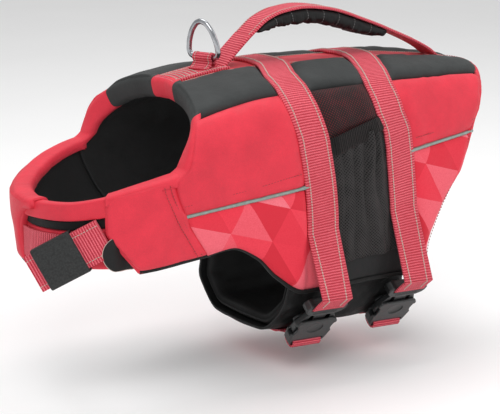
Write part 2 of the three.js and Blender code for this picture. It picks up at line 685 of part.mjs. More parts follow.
// ---------------------------------------------------------------- lead ring and its loop
const loopFoot = onBody(spineColumn(RING_X), 0, SPINE_WEB_OUT + 3);
const BAR_HEIGHT = 8;            // ring bar over the spine webbing
function ringLoop() {
  const outline = new THREE.Shape();
  outline.moveTo(-9, 0);
  outline.lineTo(9, 0);
  outline.lineTo(8, 2);
  outline.lineTo(4, 3);
  const eye = RING_WIRE + 0.5 + WEB_THICK;
  const steps = evenly(-0.95, Math.PI + 0.95, 10);
  for (const a of steps) {
    outline.lineTo(eye * Math.cos(a), BAR_HEIGHT + eye * Math.sin(a));
  }
  outline.lineTo(-4, 3);
  outline.lineTo(-8, 2);
  const hole = new THREE.Path();
  hole.absarc(0, BAR_HEIGHT, RING_WIRE + 0.5, 0, Math.PI * 2, true);
  outline.holes.push(hole);
  const options = { depth: LOOP_WIDTH, bevelEnabled: false, curveSegments: 6 };
  const geometry = new THREE.ExtrudeGeometry(outline, options);
  geometry.translate(0, 0, -LOOP_WIDTH / 2);
  geometry.rotateX(Math.PI / 2);
  geometry.rotateZ(LOOP_TURN);
  geometry.translate(loopFoot.x, 0, loopFoot.z);
  geometry.deleteAttribute('normal');
  geometry.deleteAttribute('uv');
  return facingOut(mergeVertices(geometry, 1e-4));
}
add('ring_loop', 'webbing', ringLoop());

function wireLoop(points, radius, sides) {
  const positions = [];
  const indices = [];
  const count = points.length;
  points.forEach((p, k) => {
    const before = points[(k + count - 1) % count];
    const after = points[(k + 1) % count];
    const tangent = after.clone().sub(before).normalize();
    const out = new THREE.Vector3(1, 0, 0);
    const inPlane = new THREE.Vector3().crossVectors(tangent, out).normalize();
    for (let m = 0; m < sides; m += 1) {
      const a = (m / sides) * Math.PI * 2;
      const q = p.clone().addScaledVector(out, radius * Math.cos(a));
      q.addScaledVector(inPlane, radius * Math.sin(a));
      positions.push(q.x, q.y, q.z);
      const next = (m + 1) % sides;
      const other = ((k + 1) % count) * sides;
      indices.push(k * sides + m, other + m, other + next, k * sides + m, other + next, k * sides + next);
    }
  });
  return solidFrom(positions, indices);
}
const RING_CORNER = 6;
const ringSide = [[RING_HALF - RING_CORNER, 0], [RING_HALF - 2, 1.8], [RING_HALF, RING_CORNER],
  [RING_HALF - 2, 16],
  [RING_HALF - 6, 27], [RING_HALF - 12, RING_HEIGHT - RING_WIRE * 2 - 3]];
const ringPath = [...ringSide, [0, RING_HEIGHT - RING_WIRE * 2],
  ...ringSide.slice().reverse().map(([y, z]) => [-y, z])];
const ringLean = -0.14;
const askew = new THREE.Matrix4().makeRotationZ(LOOP_TURN);
const ringTurn = askew.clone().multiply(new THREE.Matrix4().makeRotationY(ringLean));
const ringPoints = ringPath.map(([y, z]) => new THREE.Vector3(0, y, z));
const ring = wireLoop(ringPoints, RING_WIRE, 8).applyMatrix4(ringTurn);
add('lead_ring', 'ring', ring.translate(loopFoot.x, 0, loopFoot.z + BAR_HEIGHT));
const spineRun = [FIRST, spineColumn(ROOT_FRONT_X) + 0.35];
const spineWeb = panel(spineRun, [-WEB_ROW, WEB_ROW], SPINE_WEB_IN, SPINE_WEB_OUT);
add('spine_webbing', 'webbing', fromManifold(toManifold(spineWeb).add(toManifold(root(false, 0.5)))));

// ---------------------------------------------------------------- webbing under the belly
for (const [span, label] of [[STRAP_1, 'front'], [STRAP_2, 'rear']]) {
  const origin = buckleOrigin(span);
  const far = onBody((span[0] + span[1]) / 2, 8.6, 0).x;
  const slotMiddle = BUCKLE_LENGTH - 6.7;
  const turns = [0.4, 0.5, 0.6, 0.72, 0.84, 0.92];
  add(`${label}_belly_webbing`, 'webbing', slab(evenly(0, turns.length + 1, turns.length + 1), [-0.5, 0.5],
    (u, v, face) => {
      if (u < 2) {
        const shift = (face ? 0.5 : -0.5) * WEB_THICK;
        return origin.clone().addScaledVector(ACROSS, v * (WEB_WIDTH - 2))
          .addScaledVector(AXIS, slotMiddle + shift)
          .addScaledVector(FACE, u === 0 ? 4 : -BUCKLE_THICK / 2 - 2.4);
      }
      const around = turns[Math.round(u) - 2];
      const share = (around - turns[0]) / (turns[turns.length - 1] - turns[0]);
      const x = lerp(origin.x - 5, far, share) + v * WEB_WIDTH;
      return bellyPoint(x, around, face ? -PLATE : -0.8);
    }));
}

// ---------------------------------------------------------------- chest strap
const TAIL_LENGTH = 78;
const PATCH_LENGTH = 42;
const STRAP_HEIGHT = 0.66;       // middle of the chest strap, share of the collar height
const STRAP_LIFT = 1.2;          // clear of the chest pad
const strapEnd = 2 * FRONT_REACH - through(FAR_END, STRAP_HEIGHT) - 8;
const strapReaches = evenly(104, strapEnd, 7);
add('neck_strap', 'webbing', slab(strapReaches, [-0.4, 0.4], (u, v, face) => {
  const side = u <= FRONT_REACH ? -1 : 1;
  const reach = Math.min(u, 2 * FRONT_REACH - u);
  const lift = STRAP_LIFT - PAD_RECESS + (face ? WEB_THICK : 0);
  const point = onCollar(reach, STRAP_HEIGHT, side, lift);
  point.z += v * WEB_WIDTH;
  return point;
}));

const tailStart = onCollar(FLAP_END_TOP + 2, 0.5, -1, -1.5);
const tailRun = new THREE.Vector3(-0.7, 0.57, -0.5).normalize();
const tailUp = new THREE.Vector3(0, 0, 1).addScaledVector(tailRun, -tailRun.z).normalize();
const tailOut = new THREE.Vector3().crossVectors(tailUp, tailRun).normalize();
function tailSolid(from, to, half, inner, outer, steps) {
  return slab(evenly(from, to, steps), [-half, half], (u, v, face) => tailStart.clone()
    .addScaledVector(tailRun, u)
    .addScaledVector(tailUp, v)
    .addScaledVector(tailOut, face ? outer : inner));
}
add('neck_tail', 'webbing', tailSolid(0, TAIL_LENGTH, WEB_WIDTH / 2 + 1, 0, 6, 4));
add('tail_keeper', 'plastic', (() => {
  const from = TAIL_LENGTH - PATCH_LENGTH - 9;
  const half = WEB_WIDTH / 2 + 3.5;
  const sleeve = toManifold(tailSolid(from, from + PATCH_LENGTH, half, -2.4, 8.4, 1));
  const hole = toManifold(tailSolid(from - 1, from + PATCH_LENGTH + 1, half - 2.1, -0.4, 6.4, 1));
  return fromManifold(sleeve.subtract(hole));
})());

// ---------------------------------------------------------------- finish
const group = new THREE.Group();
group.name = 'dog_life_jacket';
for (const { name, look, geometry } of parts) {
  const { color, roughness, metalness } = looks[look];
  const material = new THREE.MeshStandardMaterial({ color, roughness, metalness });
  const mesh = new THREE.Mesh(geometry, material);
  mesh.name = name;
  group.add(mesh);
}
const box = new THREE.Box3().setFromObject(group);
const middle = box.getCenter(new THREE.Vector3());
for (const mesh of group.children) {
  mesh.geometry.translate(-middle.x, -middle.y, -box.min.z);
}
export default group;
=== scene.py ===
import json
import math

import bmesh
import bpy
import numpy as np
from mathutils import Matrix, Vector


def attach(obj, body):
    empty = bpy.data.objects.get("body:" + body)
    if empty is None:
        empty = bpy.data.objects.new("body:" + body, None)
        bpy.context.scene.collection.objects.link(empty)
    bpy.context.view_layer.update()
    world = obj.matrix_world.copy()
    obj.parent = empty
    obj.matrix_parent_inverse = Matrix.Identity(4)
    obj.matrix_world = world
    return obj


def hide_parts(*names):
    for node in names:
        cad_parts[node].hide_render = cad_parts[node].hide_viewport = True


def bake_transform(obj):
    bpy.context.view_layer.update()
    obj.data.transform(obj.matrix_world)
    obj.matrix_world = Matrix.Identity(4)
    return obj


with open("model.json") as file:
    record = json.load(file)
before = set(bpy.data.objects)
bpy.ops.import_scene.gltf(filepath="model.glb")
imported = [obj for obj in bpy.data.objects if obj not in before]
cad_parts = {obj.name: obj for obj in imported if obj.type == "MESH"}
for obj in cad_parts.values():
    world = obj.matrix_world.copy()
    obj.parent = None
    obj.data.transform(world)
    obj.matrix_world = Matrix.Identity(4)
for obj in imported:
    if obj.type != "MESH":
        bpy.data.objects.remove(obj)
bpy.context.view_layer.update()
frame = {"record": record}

bl_info = {
    "name": "Dog Life Jacket",
    "version": (1, 0, 0),
    "blender": (4, 5, 0),
    "location": "View3D > Sidebar > Life Jacket",
    "description": "Sews the padded panels, straps, buckles, handle and chest closure of a dog's life jacket",
    "category": "Object",
}

RECORD = frame["record"]
JOINTS = {joint["name"]: joint for joint in RECORD["behaviour"]["joints"]}

# The pattern of the jacket is drawn in millimetres around its own middle.
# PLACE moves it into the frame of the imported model.
PLACE = np.array([12.472, 2.703, -3.348])

# ---------------------------------------------------------------- sizes of the pattern
HALF_WIDTH = 107.0
CROWN = 279.0
TAIL_X = 258.0
NECK_X = -150.0
WEB_WIDTH = 36.0
TUCK = 10.0
ARCH_TOP = 122.0
COLLAR_DEPTH = 112.0
COLLAR_ARC = 110.0
FRONT_REACH = COLLAR_ARC * math.pi / 2
HANDLE_RISE = 57.0
HANDLE_WIDTH = 30.0

# Layers, as distances out from the base surface.
FOAM_IN = -11.6
LINING_IN = -13.5
COVER_OUT = 1.9
STRIP_OUT = 3.8
WEB_IN = 2.7
WEB_THICK = 2.0

STRAP_FRONT = (4.0, 5.0)
STRAP_REAR = (7.0, 8.0)
STRIP_ROW = 1.0
BOUND_ROW = 3.0
PIPING_ROW = 6.0
LOW_ROW = 9.0
HEM_ROW = 4.95
HEM_HALF = 0.24
NECK_FULL = -0.35
FIRST = 0.12
LAST = 11.88


# ---------------------------------------------------------------- curves and noise
def curve(points, at):
    """A smooth curve through [position, value] pairs that never overshoots them."""
    pairs = np.asarray(points, float)
    x, y = pairs[:, 0], pairs[:, 1]
    at = np.clip(np.asarray(at, float), x[0], x[-1])
    step = np.diff(x)
    rise = np.diff(y) / step
    slope = np.zeros_like(y)
    slope[0], slope[-1] = rise[0], rise[-1]
    if len(rise) > 1:
        same = rise[:-1] * rise[1:] > 0
        w1, w2 = 2 * step[1:] + step[:-1], step[1:] + 2 * step[:-1]
        safe0 = np.where(same, rise[:-1], 1.0)
        safe1 = np.where(same, rise[1:], 1.0)
        slope[1:-1] = np.where(same, (w1 + w2) / (w1 / safe0 + w2 / safe1), 0.0)
    k = np.clip(np.searchsorted(x, at, side="right") - 1, 0, len(step) - 1)
    t = (at - x[k]) / step[k]
    h = step[k]
    return ((1 + 2 * t) * (1 - t) ** 2 * y[k] + t * (1 - t) ** 2 * h * slope[k]
            + t * t * (3 - 2 * t) * y[k + 1] + t * t * (t - 1) * h * slope[k + 1])


def straight(points, at):
    """Straight lines between [position, value] pairs."""
    pairs = np.asarray(points, float)
    return np.interp(at, pairs[:, 0], pairs[:, 1])


def ease(t):
    """A soft step from 0 to 1."""
    t = np.clip(t, 0.0, 1.0)
    return t * t * (3 - 2 * t)


def rounded_edge(t):
    """The height of a rounded edge: 0 at its rim, 1 where t reaches 1."""
    return np.sqrt(np.clip(1 - (1 - np.clip(t, 0, 1)) ** 2, 0, 1))


def lattice(ix, iy, iz, seed):
    """A repeatable random number from -1 to 1 at each whole-number point."""
    h = (ix.astype(np.int64) * 374761393 + iy.astype(np.int64) * 668265263
         + iz.astype(np.int64) * 2147483647 + seed * 144665)
    h = (h ^ (h >> 13)) * 1274126177
    h = (h ^ (h >> 16)) & 0xFFFF
    return h / 32767.5 - 1.0


def noise(points, scale, seed=1):
    """Smooth noise from about -1 to 1 whose lumps are about scale across."""
    p = np.asarray(points, float) / scale
    base = np.floor(p).astype(np.int64)
    f = p - base
    f = f * f * f * (f * (f * 6 - 15) + 10)
    total = 0.0
    for dx in (0, 1):
        for dy in (0, 1):
            for dz in (0, 1):
                weight = ((f[..., 0] if dx else 1 - f[..., 0])
                          * (f[..., 1] if dy else 1 - f[..., 1])
                          * (f[..., 2] if dz else 1 - f[..., 2]))
                corner = lattice(base[..., 0] + dx, base[..., 1] + dy, base[..., 2] + dz, seed)
                total = total + weight * corner
    return total


def unit(vectors):
    """The vectors at length one."""
    length = np.linalg.norm(vectors, axis=-1, keepdims=True)
    return vectors / np.maximum(length, 1e-9)


# ---------------------------------------------------------------- the body's shape
HALF_WIDTHS = [[-150, 0.98], [0, 1], [60, 0.955], [120, 0.88], [200, 0.77], [258, 0.66]]
CROWN_LINE = [[-150, -20], [-100, -8], [-45, -1], [0, 0], [110, -1], [180, -7], [220, -12], [258, -20]]
LOWER_EDGE = [[-130, 117], [-95, 122], [-66, 108], [-45, 86], [-12, 66], [60, 66], [131, 62]]
PIPING_LINE = [[-154, 163], [-20, 176], [40, 184], [118, 196], [200, 205]]
NECK_EDGE = [[0, -112], [0.5, -128], [0.8, -143], [1, -151], [1.14, -165], [1.5, -154], [2, -124]]
STRAP_LEAN = [[0, 0], [0.1, -4], [0.3, -14], [0.6, -17], [0.8, -15], [1, -9], [1.2, -3], [1.5, 3], [2, 7]]
REAR_LEAN = [[0, 0], [0.3, -12], [0.6, -21], [0.8, -20], [1, -11], [1.3, -4], [1.6, 2], [2, 8]]
REAR_EDGE = [[0, 0], [0.3, -14], [0.5, -25], [0.75, -38], [1, -54], [1.27, -69], [1.45, -88],
             [1.65, -104], [1.8, -112], [2, -114]]
BOUND_LINE = [[-140, 0.6], [-60, 0.54], [60, 0.5], [110, 0.5], [226, 0.42]]
ROUGH_ROWS = [[0, 0], [1, 0.085], [2, 0.3], [3, 0.58], [6, 1.2], [9, 2]]


def half_width(x):
    """Half the body's width at x."""
    return HALF_WIDTH * curve(HALF_WIDTHS, x)


def crown(x):
    """The height of the body's top at x."""
    return CROWN + curve(CROWN_LINE, x)


def shoulder_drop(x):
    return straight([[NECK_X, 50], [0, 64]], x)


def section(x, q):
    """q is 0 at the spine, 1 at the top of the side wall and 2 at the lower edge."""
    w, drop = half_width(x), shoulder_drop(x)
    wall_top = crown(x) - drop
    angle = np.clip(q, 0, 1) * math.pi / 2
    down = np.clip(q - 1, 0, 1)
    y = w * np.sin(angle) ** 0.8 - TUCK * down * down
    lower = curve(LOWER_EDGE, x)
    z = np.where(q <= 1, wall_top + drop * np.maximum(np.cos(angle), 0) ** 0.8,
                 wall_top + (lower - wall_top) * down)
    return np.stack([x, y, z], -1)


def share_at_height(x, z):
    drop = shoulder_drop(x)
    wall_top = crown(x) - drop
    low = 1 + (wall_top - z) / (wall_top - curve(LOWER_EDGE, x))
    high = np.arccos(np.clip((np.maximum(z - wall_top, 0) / drop), 0, 1) ** 1.25) / (math.pi / 2)
    return np.where(z < wall_top, low, high)


def column_x(column, q):
    front, rear = curve(STRAP_LEAN, q), 107 + curve(REAR_LEAN, q)
    rails = [(0, curve(NECK_EDGE, q)), (4, front - WEB_WIDTH / 2), (5, front + WEB_WIDTH / 2),
             (7, rear - WEB_WIDTH / 2), (8, rear + WEB_WIDTH / 2), (12, TAIL_X + curve(REAR_EDGE, q))]
    x = rails[0][1] + 0 * column
    for (c0, x0), (c1, x1) in zip(rails, rails[1:]):
        t = np.clip((column - c0) / (c1 - c0), 0, 1)
        x = np.where(column > c0, x0 + (x1 - x0) * t, x)
    return x


def row_share(row, x):
    marks = [(0, 0.0), (1, 0.085), (2, 0.3), (3, curve(BOUND_LINE, x)),
             (6, share_at_height(x, curve(PIPING_LINE, x))), (9, 2.0)]
    q = 0 * row
    for (r0, q0), (r1, q1) in zip(marks, marks[1:]):
        t = np.clip((row - r0) / (r1 - r0), 0, 1)
        q = np.where(row > r0, q0 + (q1 - q0) * t, q)
    return q


def body_point(column, row):
    """A point of the body's base surface at a column and a row."""
    column, row = np.broadcast_arrays(np.asarray(column, float), np.asarray(row, float))
    side, depth = np.where(row < 0, -1.0, 1.0), np.abs(row)
    x = column_x(column, straight(ROUGH_ROWS, depth))
    for _ in range(4):
        x = column_x(column, row_share(depth, x))
    point = section(x, row_share(depth, x))
    point[..., 1] *= side
    return point


def body_frame(column, row):
    """Points on the body, the way along it, and the way out."""
    column, row = np.broadcast_arrays(np.asarray(column, float), np.asarray(row, float))
    h = 0.12
    along = (body_point(np.minimum(column + h, 12), row) - body_point(np.maximum(column - h, 0), row))
    down = (body_point(column, np.minimum(row + h, 9)) - body_point(column, np.maximum(row - h, -9)))
    out = unit(np.cross(along, down))
    return body_point(column, row), unit(along), out


def spine_column(x):
    """The column of the body that stands at x on the spine."""
    columns = np.linspace(0, 12, 600)
    return float(np.interp(x, body_point(columns, 0 * columns)[:, 0], columns))


# ---------------------------------------------------------------- the collar's shape
COLLAR_TOP = [[0, 205], [20, 201], [45, 195], [85, 184], [120, 178], [FRONT_REACH, 175]]
COLLAR_LOW = [[-30, ARCH_TOP - 4], [0, ARCH_TOP - 7], [60, 110], [FRONT_REACH, 108]]


def on_collar(reach, height, side, offset=0.0):
    """Reach runs round the chest from the side wall; height is 0 at the rim and 1 below."""
    reach, height, side, offset = np.broadcast_arrays(
        *(np.asarray(v, float) for v in (reach, height, side, offset)))
    past = reach > FRONT_REACH
    side = np.where(past, -side, side)
    near = np.where(past, 2 * FRONT_REACH - reach, reach)
    w = float(half_width(np.array(NECK_X)))
    lean = TUCK * height ** 2 * straight([[0, 1], [60, 0.5], [FRONT_REACH, 0.3]], near)
    out = offset - lean
    angle = np.maximum(near, 0) / COLLAR_ARC
    x = np.where(near <= 0, NECK_X - near, NECK_X - (COLLAR_DEPTH + out) * np.sin(angle))
    y = side * (w + out) * np.cos(angle)
    top, low = curve(COLLAR_TOP, near), curve(COLLAR_LOW, near)
    return np.stack([x, y, top + (low - top) * height], -1)


def collar_out(reach, height, side):
    """The way out of the collar's surface at a place."""
    return unit(on_collar(reach, height, side, 1.0) - on_collar(reach, height, side, 0.0))


def seam_reach(height):
    """Where the collar begins, just ahead of the side panel."""
    q = 1.14 + (2 - 1.14) * height
    return NECK_X - column_x(np.full_like(q, FIRST - 0.03), q) + 2.4


# ---------------------------------------------------------------- making meshes
def placed(points):
    """Points of the pattern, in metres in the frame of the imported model."""
    return (np.asarray(points, float) + PLACE) / 1000.0


def new_mesh(name, points, faces, material, uv=None, smooth=True, body="shell", replaces=(), slot=None):
    """Makes one piece from points in millimetres, facing out, and lets it ride on its body."""
    points = placed(np.asarray(points, float).reshape(-1, 3))
    quads = [tuple(int(i) for i in face) for face in faces]
    volume = 0.0
    for face in quads:
        a = points[face[0]]
        for k in range(1, len(face) - 1):
            volume += float(np.dot(a, np.cross(points[face[k]], points[face[k + 1]])))
    if volume < 0:
        quads = [tuple(reversed(face)) for face in quads]
    mesh = bpy.data.meshes.new(name)
    mesh.from_pydata([tuple(p) for p in points], [], quads)
    mesh.validate()
    if uv is not None:
        layer = mesh.uv_layers.new(name="UVMap")
        flat = np.asarray(uv, float).reshape(-1, 2) / 1000.0
        index = np.zeros(len(mesh.loops), np.int32)
        mesh.loops.foreach_get("vertex_index", index)
        layer.data.foreach_set("uv", flat[index].ravel())
    mesh.polygons.foreach_set("use_smooth", [smooth] * len(mesh.polygons))
    mesh.update()
    piece = bpy.data.objects.new(name, mesh)
    bpy.context.scene.collection.objects.link(piece)
    piece.data.materials.append(material)
    if body:
        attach(piece, body)
    if replaces:
        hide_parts(*replaces)
    return piece


def grid_faces(rows, columns, start=0, wrap=False):
    """The faces between the rows and columns of a grid of points."""
    faces = []
    last = columns if wrap else columns - 1
    for i in range(rows - 1):
        for j in range(last):
            k = (j + 1) % columns
            faces.append((start + i * columns + j, start + (i + 1) * columns + j,
                          start + (i + 1) * columns + k, start + i * columns + k))
    return faces


def arc_uv(grid):
    """Distances along and across a grid of points, in millimetres."""
    along = np.zeros(grid.shape[:2])
    along[1:] = np.cumsum(np.linalg.norm(np.diff(grid, axis=0), axis=-1), axis=0)
    across = np.zeros(grid.shape[:2])
    across[:, 1:] = np.cumsum(np.linalg.norm(np.diff(grid, axis=1), axis=-1), axis=1)
    across -= across[:, -1:] / 2
    return np.stack([along, across], -1)


def layered(outer, inner, straight_ribs=False):
    """Points, faces and texture places of a closed sheet between two grids."""
    rows, columns = outer.shape[:2]
    count = rows * columns
    points = np.concatenate([outer.reshape(-1, 3), inner.reshape(-1, 3)])
    faces = grid_faces(rows, columns) + [tuple(reversed(f)) for f in grid_faces(rows, columns, count)]
    rim = ([i * columns for i in range(rows)] + [(rows - 1) * columns + j for j in range(1, columns)]
           + [i * columns + columns - 1 for i in range(rows - 2, -1, -1)] + list(range(columns - 2, 0, -1)))
    for a, b in zip(rim, rim[1:] + rim[:1]):
        faces.append((a, b, count + b, count + a)[::-1])
    uv = arc_uv(outer)
    if straight_ribs:
        uv[..., 0] = uv[..., 0].mean(axis=1, keepdims=True)
    uv = uv.reshape(-1, 2)
    return points, faces, np.concatenate([uv, uv])


def tube(points, radius, sides=8, closed=False, squash=1.0, normals=None):
    """Points, faces and texture places of a cord along a line; radius may vary."""
    line = np.asarray(points, float)
    count = len(line)
    radius = np.broadcast_to(np.asarray(radius, float), (count,))
    if closed:
        tangent = unit(np.roll(line, -1, 0) - np.roll(line, 1, 0))
    else:
        tangent = unit(np.gradient(line, axis=0))
    if normals is None:
        normal = np.tile([0.0, 0.0, 1.0], (count, 1))
        flat = np.abs(tangent[:, 2]) > 0.93
        normal[flat] = [1.0, 0.0, 0.0]
        normals = normal
    side = unit(np.cross(tangent, normals))
    up = np.cross(side, tangent)
    angle = np.linspace(0, 2 * math.pi, sides, endpoint=False)
    ring = (line[:, None] + radius[:, None, None]
            * (side[:, None] * np.cos(angle)[None, :, None]
               + squash * up[:, None] * np.sin(angle)[None, :, None]))
    faces = grid_faces(count, sides, wrap=True)
    length = np.concatenate([[0], np.cumsum(np.linalg.norm(np.diff(line, axis=0), axis=-1))])
    uv = np.stack([np.repeat(length[:, None], sides, 1), np.tile(angle * 2, (count, 1))], -1)
    if closed:
        for j in range(sides):
            k = (j + 1) % sides
            faces.append(((count - 1) * sides + j, j, k, (count - 1) * sides + k))
    else:
        faces.append(tuple(range(sides)))
        faces.append(tuple((count - 1) * sides + j for j in reversed(range(sides))))
    return ring.reshape(-1, 3), faces, uv.reshape(-1, 2)


def gathered(*shapes):
    """Several closed shapes as the points, faces and texture places of one mesh."""
    points, faces, uvs, start = [], [], [], 0
    for p, f, uv in shapes:
        points.append(p)
        faces += [tuple(i + start for i in face) for face in f]
        uvs.append(uv)
        start += len(p)
    return np.concatenate(points), faces, np.concatenate(uvs)


def stitch_shapes(lines, pitch=3.4, length=2.3, radius=0.42, lift=0.25):
    """Stitches along lines of (points, outward directions), as small rounded bars."""
    shapes = []
    template_t = np.array([-0.5, -0.38, 0.38, 0.5])
    template_r = np.array([0.35, 1.0, 1.0, 0.35])
    angle = np.linspace(0, 2 * math.pi, 5, endpoint=False)
    for points, outs in lines:
        points, outs = np.asarray(points, float), np.asarray(outs, float)
        run = np.concatenate([[0], np.cumsum(np.linalg.norm(np.diff(points, axis=0), axis=-1))])
        count = max(1, int(run[-1] / pitch))
        at = (np.arange(count) + 0.5) * run[-1] / count
        centre = np.stack([np.interp(at, run, points[:, k]) for k in range(3)], -1)
        ahead = np.stack([np.interp(at + 0.8, run, points[:, k]) - np.interp(at - 0.8, run, points[:, k])
                          for k in range(3)], -1)
        out = unit(np.stack([np.interp(at, run, outs[:, k]) for k in range(3)], -1))
        tangent = unit(ahead)
        side = unit(np.cross(tangent, out))
        for c, t, s, n in zip(centre, tangent, side, out):
            ring = (c + n * lift + t * (template_t * length)[:, None, None]
                    + (s * np.cos(angle)[:, None] + n * np.sin(angle)[:, None])[None]
                    * (template_r * radius)[:, None, None])
            faces = grid_faces(4, 5, wrap=True)
            faces += [tuple(range(5)), tuple(15 + j for j in reversed(range(5)))]
            shapes.append((ring.reshape(-1, 3), faces, np.zeros((20, 2))))
    return gathered(*shapes)


# ---------------------------------------------------------------- finishes
class Finish:
    """A small helper that lays out the nodes of one material."""

    def __init__(self, name):
        self.material = bpy.data.materials.get(name) or bpy.data.materials.new(name)
        self.material.use_nodes = True
        self.tree = self.material.node_tree
        self.tree.nodes.clear()
        self.shader = self.tree.nodes.new("ShaderNodeBsdfPrincipled")
        output = self.tree.nodes.new("ShaderNodeOutputMaterial")
        self.tree.links.new(self.shader.outputs[0], output.inputs[0])

    def put(self, value, socket):
        if isinstance(value, bpy.types.NodeSocket):
            self.tree.links.new(value, socket)
        elif isinstance(value, (tuple, list)) and len(value) == 3 and socket.type == "RGBA":
            socket.default_value = (*value, 1.0)
        else:
            socket.default_value = value

    def math(self, kind, a, b=0.0, c=0.0):
        node = self.tree.nodes.new("ShaderNodeMath")
        node.operation = kind
        for value, socket in zip((a, b, c), node.inputs):
            self.put(value, socket)
        return node.outputs[0]

    def mix(self, share, a, b):
        node = self.tree.nodes.new("ShaderNodeMix")
        node.data_type = "RGBA"
        self.put(share, node.inputs["Factor"])
        self.put(a, node.inputs["A"] if node.inputs["A"].type == "RGBA" else node.inputs[6])
        self.put(a, node.inputs[6])
        self.put(b, node.inputs[7])
        return node.outputs[2]

    def place(self):
        """Distance along and across the cloth, in millimetres."""
        where = self.tree.nodes.new("ShaderNodeUVMap")
        where.uv_map = "UVMap"
        scaled = self.tree.nodes.new("ShaderNodeVectorMath")
        scaled.operation = "SCALE"
        scaled.inputs["Scale"].default_value = 1000.0
        self.tree.links.new(where.outputs[0], scaled.inputs[0])
        parts = self.tree.nodes.new("ShaderNodeSeparateXYZ")
        self.tree.links.new(scaled.outputs[0], parts.inputs[0])
        return parts.outputs[0], parts.outputs[1], scaled.outputs[0]

    def spot(self):
        """The place in space, in millimetres, for grain that needs no layout."""
        where = self.tree.nodes.new("ShaderNodeTexCoord")
        scaled = self.tree.nodes.new("ShaderNodeVectorMath")
        scaled.operation = "SCALE"
        scaled.inputs["Scale"].default_value = 1000.0
        self.tree.links.new(where.outputs["Object"], scaled.inputs[0])
        return scaled.outputs[0]

    def cloud(self, where, size, detail=3.0, roughness=0.6):
        node = self.tree.nodes.new("ShaderNodeTexNoise")
        self.put(where, node.inputs["Vector"])
        node.inputs["Scale"].default_value = 1.0 / size
        node.inputs["Detail"].default_value = detail
        node.inputs["Roughness"].default_value = roughness
        return node.outputs[0]

    def cells(self, where, size, feature="F1"):
        node = self.tree.nodes.new("ShaderNodeTexVoronoi")
        node.feature = feature
        self.put(where, node.inputs["Vector"])
        node.inputs["Scale"].default_value = 1.0 / size
        return node

    def limits(self, value, low, high, to_low=0.0, to_high=1.0):
        node = self.tree.nodes.new("ShaderNodeMapRange")
        self.put(value, node.inputs["Value"])
        for name, number in (("From Min", low), ("From Max", high), ("To Min", to_low), ("To Max", to_high)):
            node.inputs[name].default_value = number
        return node.outputs[0]

    def relief(self, height, depth, strength=1.0, before=None):
        node = self.tree.nodes.new("ShaderNodeBump")
        node.inputs["Strength"].default_value = strength
        node.inputs["Distance"].default_value = depth / 1000.0
        self.put(height, node.inputs["Height"])
        if before is not None:
            self.put(before, node.inputs["Normal"])
        return node.outputs[0]

    def wear(self, colour, rough, normal=None, sheen=0.0, tint=(1, 1, 1), **sockets):
        self.put(colour, self.shader.inputs["Base Color"])
        self.put(rough, self.shader.inputs["Roughness"])
        if normal is not None:
            self.put(normal, self.shader.inputs["Normal"])
        self.shader.inputs["Sheen Weight"].default_value = sheen
        self.shader.inputs["Sheen Roughness"].default_value = 0.5
        self.shader.inputs["Sheen Tint"].default_value = (*tint, 1.0)
        for name, value in sockets.items():
            self.shader.inputs[name.replace("_", " ").title().replace("Ior", "IOR")].default_value = value
        return self.material


def weave(finish, pitch):
    """The height of a plain weave with threads pitch apart."""
    along, across, _ = finish.place()
    turn = 2 * math.pi / pitch
    one = finish.math("SINE", finish.math("MULTIPLY", along, turn))
    two = finish.math("SINE", finish.math("MULTIPLY", across, turn))
    return finish.math("MULTIPLY", one, two)


def woven_finish(name, colour, shade, pitch=1.1, sheen=0.25, rough=0.56, specular=0.3):
    """Coated woven cloth: plain weave, slightly uneven colour, soft sheen; the weave's threads are also
    painted lighter and darker with their height, as painted light and shade.
    """
    f = Finish(name)
    space = f.spot()
    thread = weave(f, pitch)
    soft = f.cloud(space, 34.0, 4.0)
    fine = f.cloud(space, 0.9, 2.0, 0.8)
    tone = f.math("ADD", f.limits(soft, 0.3, 0.7, 0.0, 0.6), f.limits(fine, 0.3, 0.7, -0.25, 0.25))
    # painted light and shade: the weave's height is added to the tone, so the thread crossings are painted
    # lighter and the hollows between them darker
    tone = f.math("ADD", tone, f.math("MULTIPLY", thread, 0.14))
    base = f.mix(f.limits(tone, -0.1, 0.9), shade, colour)
    height = f.math("ADD", f.math("MULTIPLY", thread, 0.55), f.math("MULTIPLY", fine, 0.7))
    normal = f.relief(height, 0.14, 0.5, f.relief(f.cloud(space, 9.0, 4.0, 0.55), 1.1, 0.5))
    return f.wear(base, f.limits(fine, 0.2, 0.8, rough - 0.1, rough + 0.14), normal, sheen,
                  specular_ior_level=specular)


